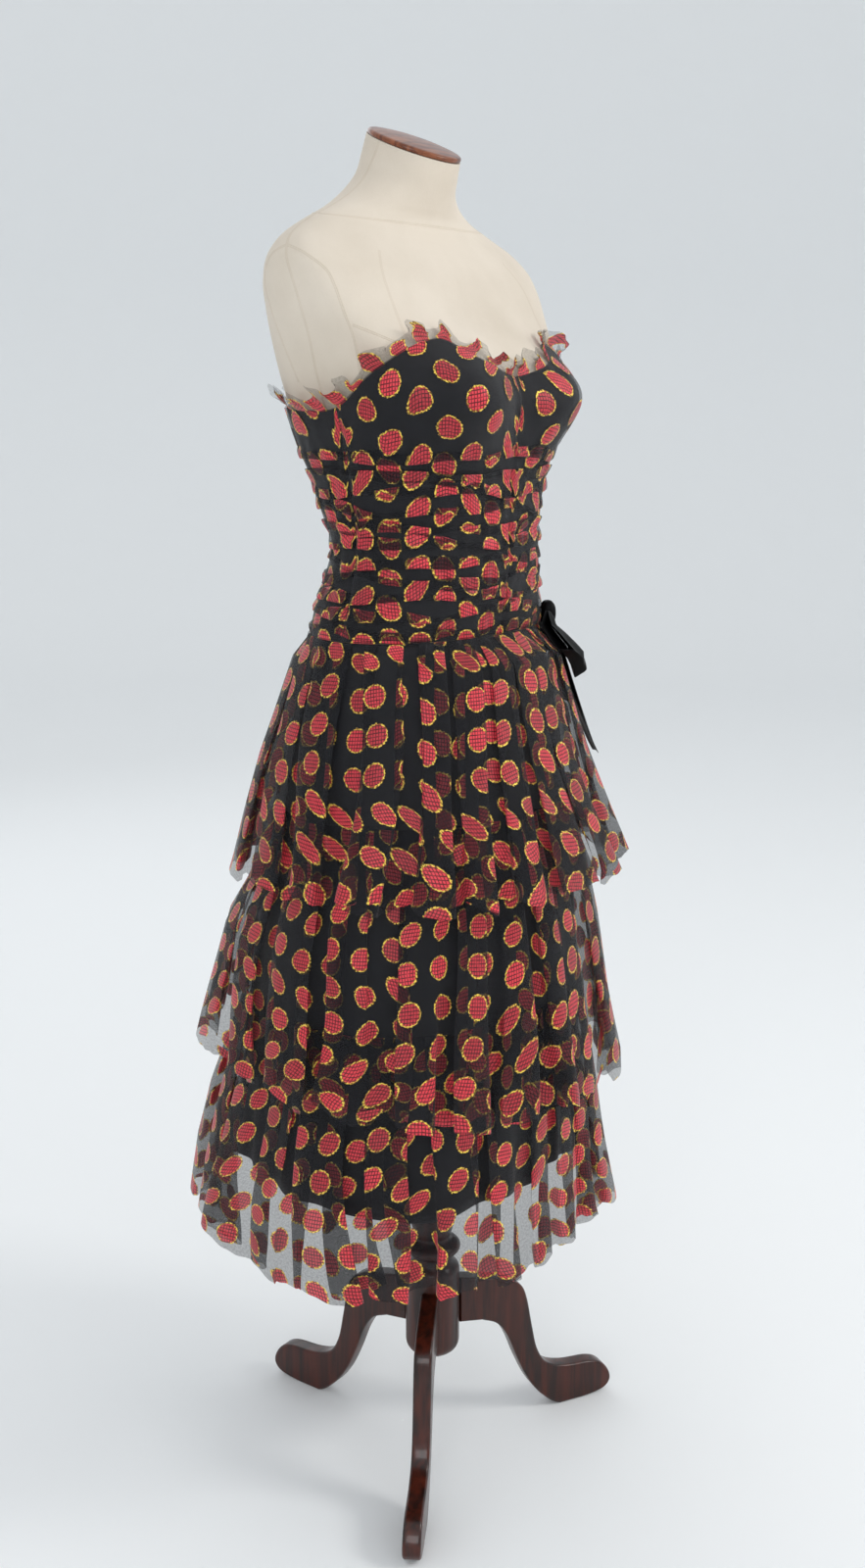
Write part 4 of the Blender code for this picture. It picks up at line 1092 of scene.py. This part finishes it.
def bow_tail(part, satin):
    """A loose tail of the bow, lying over the skirt with its end lifted a little."""
    along = np.linspace(0.0, part.reach, 61)
    free = np.clip((along - UNDER_LOOPS) / (part.reach - UNDER_LOOPS), 0, 1)
    tilt = part.narrow / 2 * math.cos(math.radians(part.droop))
    start = np.array([part.side * TAIL_APART, -KNOT_HALF_HEIGHT + KNOT_OVERLAP - tilt])
    piece, points = ribbon(part, start, along, part.swell * free**2, 1.5, satin)
    declare_cloth(points, False)


def bow_knot(satin):
    """The band round the middle of the bow: a rounded pad with creases that run round it."""
    turn = np.linspace(0, 2 * math.pi, 73)[None, :-1]
    lift = np.linspace(-math.pi / 2, math.pi / 2, 37)[:, None]
    x = np.cos(lift) * np.cos(turn)
    y = np.cos(lift) * np.sin(turn)
    z = np.sin(lift) + 0 * turn
    across = KNOT_HALF_WIDTH * np.sign(x) * np.abs(x) ** 0.7
    deep = KNOT_HALF_DEPTH * np.sign(y) * np.abs(y) ** 0.8
    tall = KNOT_HALF_HEIGHT * np.sign(z) * np.abs(z) ** 0.8
    deep = deep - 0.0007 * np.cos(across / KNOT_HALF_WIDTH * 7.5) * np.cos(lift)
    angle = math.radians(BOW_ANGLE)
    radius = float(dress_outside(np.array(angle), np.array(BOW_HEIGHT))) + KNOT_HALF_DEPTH - KNOT_SEAT
    reach = radius - deep
    points = np.stack(
        [
            reach * math.sin(angle) + across * math.cos(angle),
            -reach * math.cos(angle) + across * math.sin(angle),
            BOW_HEIGHT + tall,
        ],
        axis=-1,
    )
    points = place_at_pole(points)[:, ::-1]
    knot = add_grid("bow_knot_satin", points, satin, cloth_map(points, closed=True), closed=True)
    dress_up(knot, "bow_satin", "bow_knot")


def form_shell(canvas):
    """The padded canvas form: its section ovals from the hip board to the neck, closed flat."""
    heights = np.concatenate([np.linspace(0.850, 1.25, 40), np.linspace(1.25, 1.57, 121)[1:]])
    angle = full_turn(FORM_COLUMNS)
    points = form_surface(angle[None, :], heights[:, None])
    for row in (0, -1):
        middle = points[row].mean(axis=0)
        rings = middle + (points[row] - middle) * np.array([0.001, 0.5])[:, None, None]
        points = np.concatenate([rings, points]) if row == 0 else np.concatenate([points, rings[::-1]])
    shell = add_grid("canvas_form", points, canvas, closed=True)
    shell.data.set_sharp_from_angle(angle=math.radians(60))
    dress_up(shell, "form_canvas", "form_torso")


def sewn_seam(name, route, canvas, depth):
    """A seam of the canvas: a strip along a route on the form, two low swells with a stitched
    valley between them."""
    table = np.array([(math.radians(p.angle), p.height) for p in route])
    path = smooth_path(table, SEAM_STEPS)
    middle = form_surface(path[:, 0], path[:, 1])
    ahead = np.gradient(middle, axis=0)
    ahead /= np.linalg.norm(ahead, axis=1)[:, None]
    step = 0.002
    east = form_surface(path[:, 0] + step, path[:, 1]) - form_surface(path[:, 0] - step, path[:, 1])
    north = form_surface(path[:, 0], path[:, 1] + step) - form_surface(path[:, 0], path[:, 1] - step)
    normal = np.cross(east, north)
    normal /= np.linalg.norm(normal, axis=1)[:, None]
    side = np.cross(normal, ahead)
    offsets = np.array([-0.0022, -0.0014, -0.0008, -0.0003, 0.0, 0.0003, 0.0008, 0.0014, 0.0022])
    lifts = depth * np.array([-1.25, 0.5, 1.0, 0.5, -0.75, 0.5, 1.0, 0.5, -1.25])
    points = middle[:, None] + offsets[None, :, None] * side[:, None]
    points = points + lifts[None, :, None] * normal[:, None]
    strip = add_grid(name, points[:, ::-1], canvas)
    dress_up(strip, "form_canvas")


def form_seams(canvas):
    """Every seam of the canvas that shows above the dress, on both sides."""
    routes = {
        "armhole_front": ARMHOLE_SEAM,
        "arm_centre": ARM_CENTRE_SEAM,
        "shoulder": SHOULDER_SEAM,
        "bust_dart": BUST_DART,
        "armhole_back": [EdgePoint(-183.0 - p.angle, p.height) for p in ARMHOLE_SEAM],
        "princess": PRINCESS_SEAM,
    }
    for name, route in routes.items():
        depth = PRINCESS_DEPTH if name == "princess" else SEAM_DEPTH
        for side, sign in (("right", 1), ("left", -1)):
            turned = [EdgePoint(sign * p.angle, p.height) for p in route]
            sewn_seam(f"seam_{name}_{side}", turned, canvas, depth)
    neck = [EdgePoint(angle, NECK_BASE) for angle in range(-95, 266, 15)]
    sewn_seam("seam_neck_base", neck, canvas, SEAM_DEPTH)


def turned_piece(name, profile, soften, wood, tilt=0.0, foot=(0.0, 0.0, 0.0)):
    """A turned shape: its radius is read from the profile at even steps along it, its corners
    softened by a moving average, and carried round the axis."""
    table = np.array([(p.radius, p.height) for p in profile])
    run = np.concatenate([[0.0], np.cumsum(np.linalg.norm(np.diff(table, axis=0), axis=1))])
    at = np.linspace(0, run[-1], max(60, int(run[-1] / TURNED_STEP)))
    reach = max(1, int(soften / (at[1] - at[0])))
    radius, height = (moving_mean(np.interp(at, run, column), reach) for column in table.T)
    radius = np.concatenate([[POLE_HOLE], radius, [POLE_HOLE]])[::-1, None]
    height = np.concatenate([height[:1], height, height[-1:]])[::-1, None]
    points = ring_points(full_turn(TURNED_COLUMNS), radius, height)
    cosine, sine = math.cos(tilt), math.sin(tilt)
    y = cosine * points[..., 1] - sine * points[..., 2]
    z = sine * points[..., 1] + cosine * points[..., 2]
    points = np.stack([points[..., 0], y, z], axis=-1) + np.array(foot)
    piece = add_grid(name, place_at_pole(points), wood, closed=True)
    piece.data.set_sharp_from_angle(angle=math.radians(50))
    return piece


def stand_leg(number, wood):
    """A cabriole leg sawn from a board: its outline, a smooth curve, is carried across the board's
    thickness and drawn in at both faces to round the edges."""
    inner = BLOCK_RADIUS + SEAM_GAP
    curve = smooth_path([(p.radius, p.height) for p in LEG_OUTLINE], 8)
    curve[:, 1] = np.maximum(curve[:, 1], 0.0)
    outline = np.concatenate([[(inner, LEG_JOINT_LOW)], [(inner, LEG_JOINT_HIGH)], curve])
    ahead = np.roll(outline, -1, axis=0) - outline
    behind = outline - np.roll(outline, 1, axis=0)
    ahead /= np.linalg.norm(ahead, axis=1)[:, None]
    behind /= np.linalg.norm(behind, axis=1)[:, None]
    along = ahead + behind
    along /= np.linalg.norm(along, axis=1)[:, None]
    inwards = np.stack([along[:, 1], -along[:, 0]], axis=1)
    round_by = np.linspace(0, math.pi / 2, 6)
    inset = LEG_ROUNDING * (1 - np.cos(round_by))
    depth = LEG_THICK / 2 - LEG_ROUNDING + LEG_ROUNDING * np.sin(round_by)
    rows = np.concatenate([np.stack([inset, -depth], axis=1)[::-1], np.stack([inset, depth], axis=1)])
    plane = outline[None] + rows[:, :1, None] * inwards[None]
    plane[..., 1] = np.maximum(plane[..., 1], 0.0)
    turn = math.radians(-90.0 - FORM_YAW - LEG_LEAN + 360.0 / LEGS * number)
    out = np.array([math.cos(turn), math.sin(turn)])
    side = np.array([-math.sin(turn), math.cos(turn)])
    level = plane[..., :1] * out + rows[:, 1, None, None] * side
    points = np.concatenate([level, plane[..., 1:]], axis=-1)
    points = place_at_pole(points)
    index, faces = grid_faces(*points.shape[:2], closed=True)
    faces.append(index[0, :-1][::-1].tolist())
    faces.append(index[-1, :-1].tolist())
    mesh = bpy.data.meshes.new(f"cabriole_leg_{number + 1}")
    mesh.from_pydata(points.reshape(-1, 3).tolist(), [], faces)
    mesh.flip_normals()
    leg = add_piece(mesh.name, mesh, wood)
    mesh.set_sharp_from_angle(angle=math.radians(40))
    dress_up(leg, "mahogany", f"stand_leg_{number + 1}")


def back_line(height, out):
    """How far the centre back lies behind the origin, at a height."""
    return form_surface(np.full_like(height, math.pi), height, out)[..., 1]


def zip_tape(cloth):
    """The woven tape between the two back panels."""
    heights = np.linspace(ZIP_BOTTOM, ZIP_TOP, 60)
    across = np.array([0.5, 0.1, 0.0, -0.1, -0.5]) * ZIP_WIDTH
    lift = np.array([0.0002, 0.0005, 0.0003, 0.0005, 0.0002]) + EASE
    y = np.stack([back_line(heights, out) for out in lift], axis=1)
    points = np.stack([POLE_X + across + 0 * y, y, heights[:, None] + 0 * y], axis=-1)
    tape = add_grid("zip_tape", points, cloth, cloth_map(points, closed=False))
    dress_up(tape, "zip_metal", "zip_chain")


def zip_teeth(metal):
    """The closed teeth: small blocks that reach past the middle from each side in turn."""
    heights = np.arange(ZIP_BOTTOM + 0.001, ZIP_TOP - 0.001, TOOTH_PITCH / 2)
    side = np.where(np.arange(len(heights)) % 2 == 0, 1.0, -1.0)
    corners = np.array([(x, y, z) for z in (-1, 1) for y in (-1, 1) for x in (-1, 1)], float)
    centre = np.stack([POLE_X + 0.0006 * side, back_line(heights, EASE + 0.0012), heights], axis=1)
    points = (centre[:, None] + corners[None] * TOOTH_HALF_SIZE).reshape(-1, 3)
    block = [(0, 2, 3, 1), (4, 5, 7, 6), (0, 1, 5, 4), (2, 6, 7, 3), (0, 4, 6, 2), (1, 3, 7, 5)]
    faces = (np.array(block)[None] + 8 * np.arange(len(heights))[:, None, None]).reshape(-1, 4)
    mesh = bpy.data.meshes.new("zip_teeth")
    mesh.from_pydata(points.tolist(), [], faces.tolist())
    teeth = add_piece("zip_teeth", mesh, metal, smooth=False)
    dress_up(teeth, "zip_metal")


def dress_metal_nodes(metal):
    """The slider and its tab keep their own shapes and take the enamel."""
    for name in ("zip_slider", "zip_pull"):
        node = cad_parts[name]
        node.data.materials.clear()
        node.data.materials.append(metal)


def add_light(name, size, power, place, colour):
    """A square soft light that faces the dress's middle."""
    data = bpy.data.lights.new(name, "AREA")
    data.size = size
    data.energy = power
    data.color = colour
    light = bpy.data.objects.new(name, data)
    light.location = place
    towards = np.array([0.0, 0.0, 0.95]) - np.array(place)
    light.rotation_euler = (
        math.atan2(math.hypot(towards[0], towards[1]), -towards[2]),
        0.0,
        math.atan2(towards[1], towards[0]) - math.pi / 2,
    )
    bpy.context.scene.collection.objects.link(light)


def studio():
    """A pale floor that curves up into a wall far out, soft lights and an even sky."""
    material, tree, shader = new_material("pale_studio_paper")
    set_inputs(tree, shader, {"Base Color": linear("#EEF0F1"), "Roughness": 0.95})
    reach, sweep, wall = 6.0, 2.0, 6.0
    bend = np.linspace(0.1, math.pi / 2, 16)
    level = np.linspace(0.5, reach, 12)
    radius = np.concatenate([[0.001], level, reach + sweep * np.sin(bend), [reach + sweep]])
    height = np.concatenate([np.zeros(level.size + 1), sweep - sweep * np.cos(bend), [wall]])
    angle = full_turn(96)
    across = radius[:, None] * np.sin(angle)
    points = np.stack([across, radius[:, None] * np.cos(angle), height[:, None] + 0 * across], axis=-1)
    floor = add_grid("studio_floor", points, material, closed=True)
    world = bpy.data.worlds.new("studio_sky")
    bpy.context.scene.world = world
    world.use_nodes = True
    sky = world.node_tree.nodes["Background"]
    sky.inputs["Color"].default_value = linear("#EAECEE")
    sky.inputs["Strength"].default_value = 1.05
    add_light("key_light", 1.0, 40.0, (1.4, -2.8, 2.5), (1.0, 0.98, 0.95))
    add_light("camera_fill", 1.2, 20.0, (-2.6, -1.6, 1.7), (0.96, 0.98, 1.0))
    add_light("back_fill", 2.2, 12.0, (1.4, 2.8, 2.4), (0.97, 0.98, 1.0))


def camera():
    """The photograph's viewpoint: off the form's front right, level with the bust and looking
    slightly down."""
    data = bpy.data.cameras.new("photo_camera")
    data.sensor_fit = "VERTICAL"
    data.sensor_height = SENSOR_HEIGHT
    data.lens = FOCAL_PIXELS / PHOTO_HEIGHT * SENSOR_HEIGHT
    data.shift_x = (PHOTO_WIDTH / 2 - POLE_COLUMN) / PHOTO_HEIGHT
    view = bpy.data.objects.new("photo_camera", data)
    turn = math.radians(VIEW_TURN)
    view.location = (
        POLE_X - VIEW_DISTANCE * math.sin(turn),
        POLE_Y - VIEW_DISTANCE * math.cos(turn),
        VIEW_HEIGHT,
    )
    view.rotation_euler = (math.radians(90.0 - VIEW_DROP), 0.0, -turn)
    bpy.context.scene.collection.objects.link(view)
    bpy.context.scene.camera = view


def build():
    """Makes every piece."""
    bpy.context.scene.view_settings.view_transform = "Standard"
    camera()
    studio()
    skirt_net = dotted_net("nylon_net_woven_dots_straight", 0.0, 0.54, 0.024)
    bodice_net = dotted_net("nylon_net_woven_dots_bias", 45.0, 0.50, 0.006)
    edge_net = dotted_net("nylon_net_woven_dots_edge", 0.0, 0.28, 0.010)
    lining = lining_satin()
    satin = bow_satin()
    canvas = form_canvas("cream_cotton_canvas", "#DBD0C1", "#C9BDAC")
    seam_canvas = form_canvas("cream_canvas_sewn", "#D6CABA", "#C2B5A3")
    wood = polished_wood("polished_mahogany", "#200B06", "#481A0D", (90.0, 90.0, 7.0))
    cap_wood = polished_wood("polished_mahogany_cap", "#5C2B16", "#8F5332", (20.0, 140.0, 60.0))
    metal = zip_enamel()

    form_shell(canvas)
    form_seams(seam_canvas)
    top = FORM_SECTIONS[-1]
    foot = (0.0, top.centre, top.height)
    cap = turned_piece("neck_disc", CAP_PROFILE, 0.0006, cap_wood, math.atan(top.tilt), foot)
    dress_up(cap, "mahogany", "neck_cap")
    post = turned_piece("turned_post", POST_PROFILE, 0.0022, wood)
    dress_up(post, "mahogany", "stand_post")
    for number in range(LEGS):
        stand_leg(number, wood)

    bodice_backing(lining)
    bodice_panel("bodice_front_right", -90, 0, bodice_net)
    bodice_panel("bodice_front_left", 0, 90, bodice_net)
    bodice_panel("bodice_back_left", 90, 180, bodice_net)
    bodice_panel("bodice_back_right", -180, -90, bodice_net)
    top_frill(edge_net)
    skirt_lining(lining)
    for tier in TIERS:
        skirt_tier(tier, skirt_net)

    for part in BOW_LOOPS:
        bow_loop(part, satin)
    for part in BOW_TAILS:
        bow_tail(part, satin)
    bow_knot(satin)

    zip_tape(lining)
    zip_teeth(metal)
    dress_metal_nodes(metal)


build()
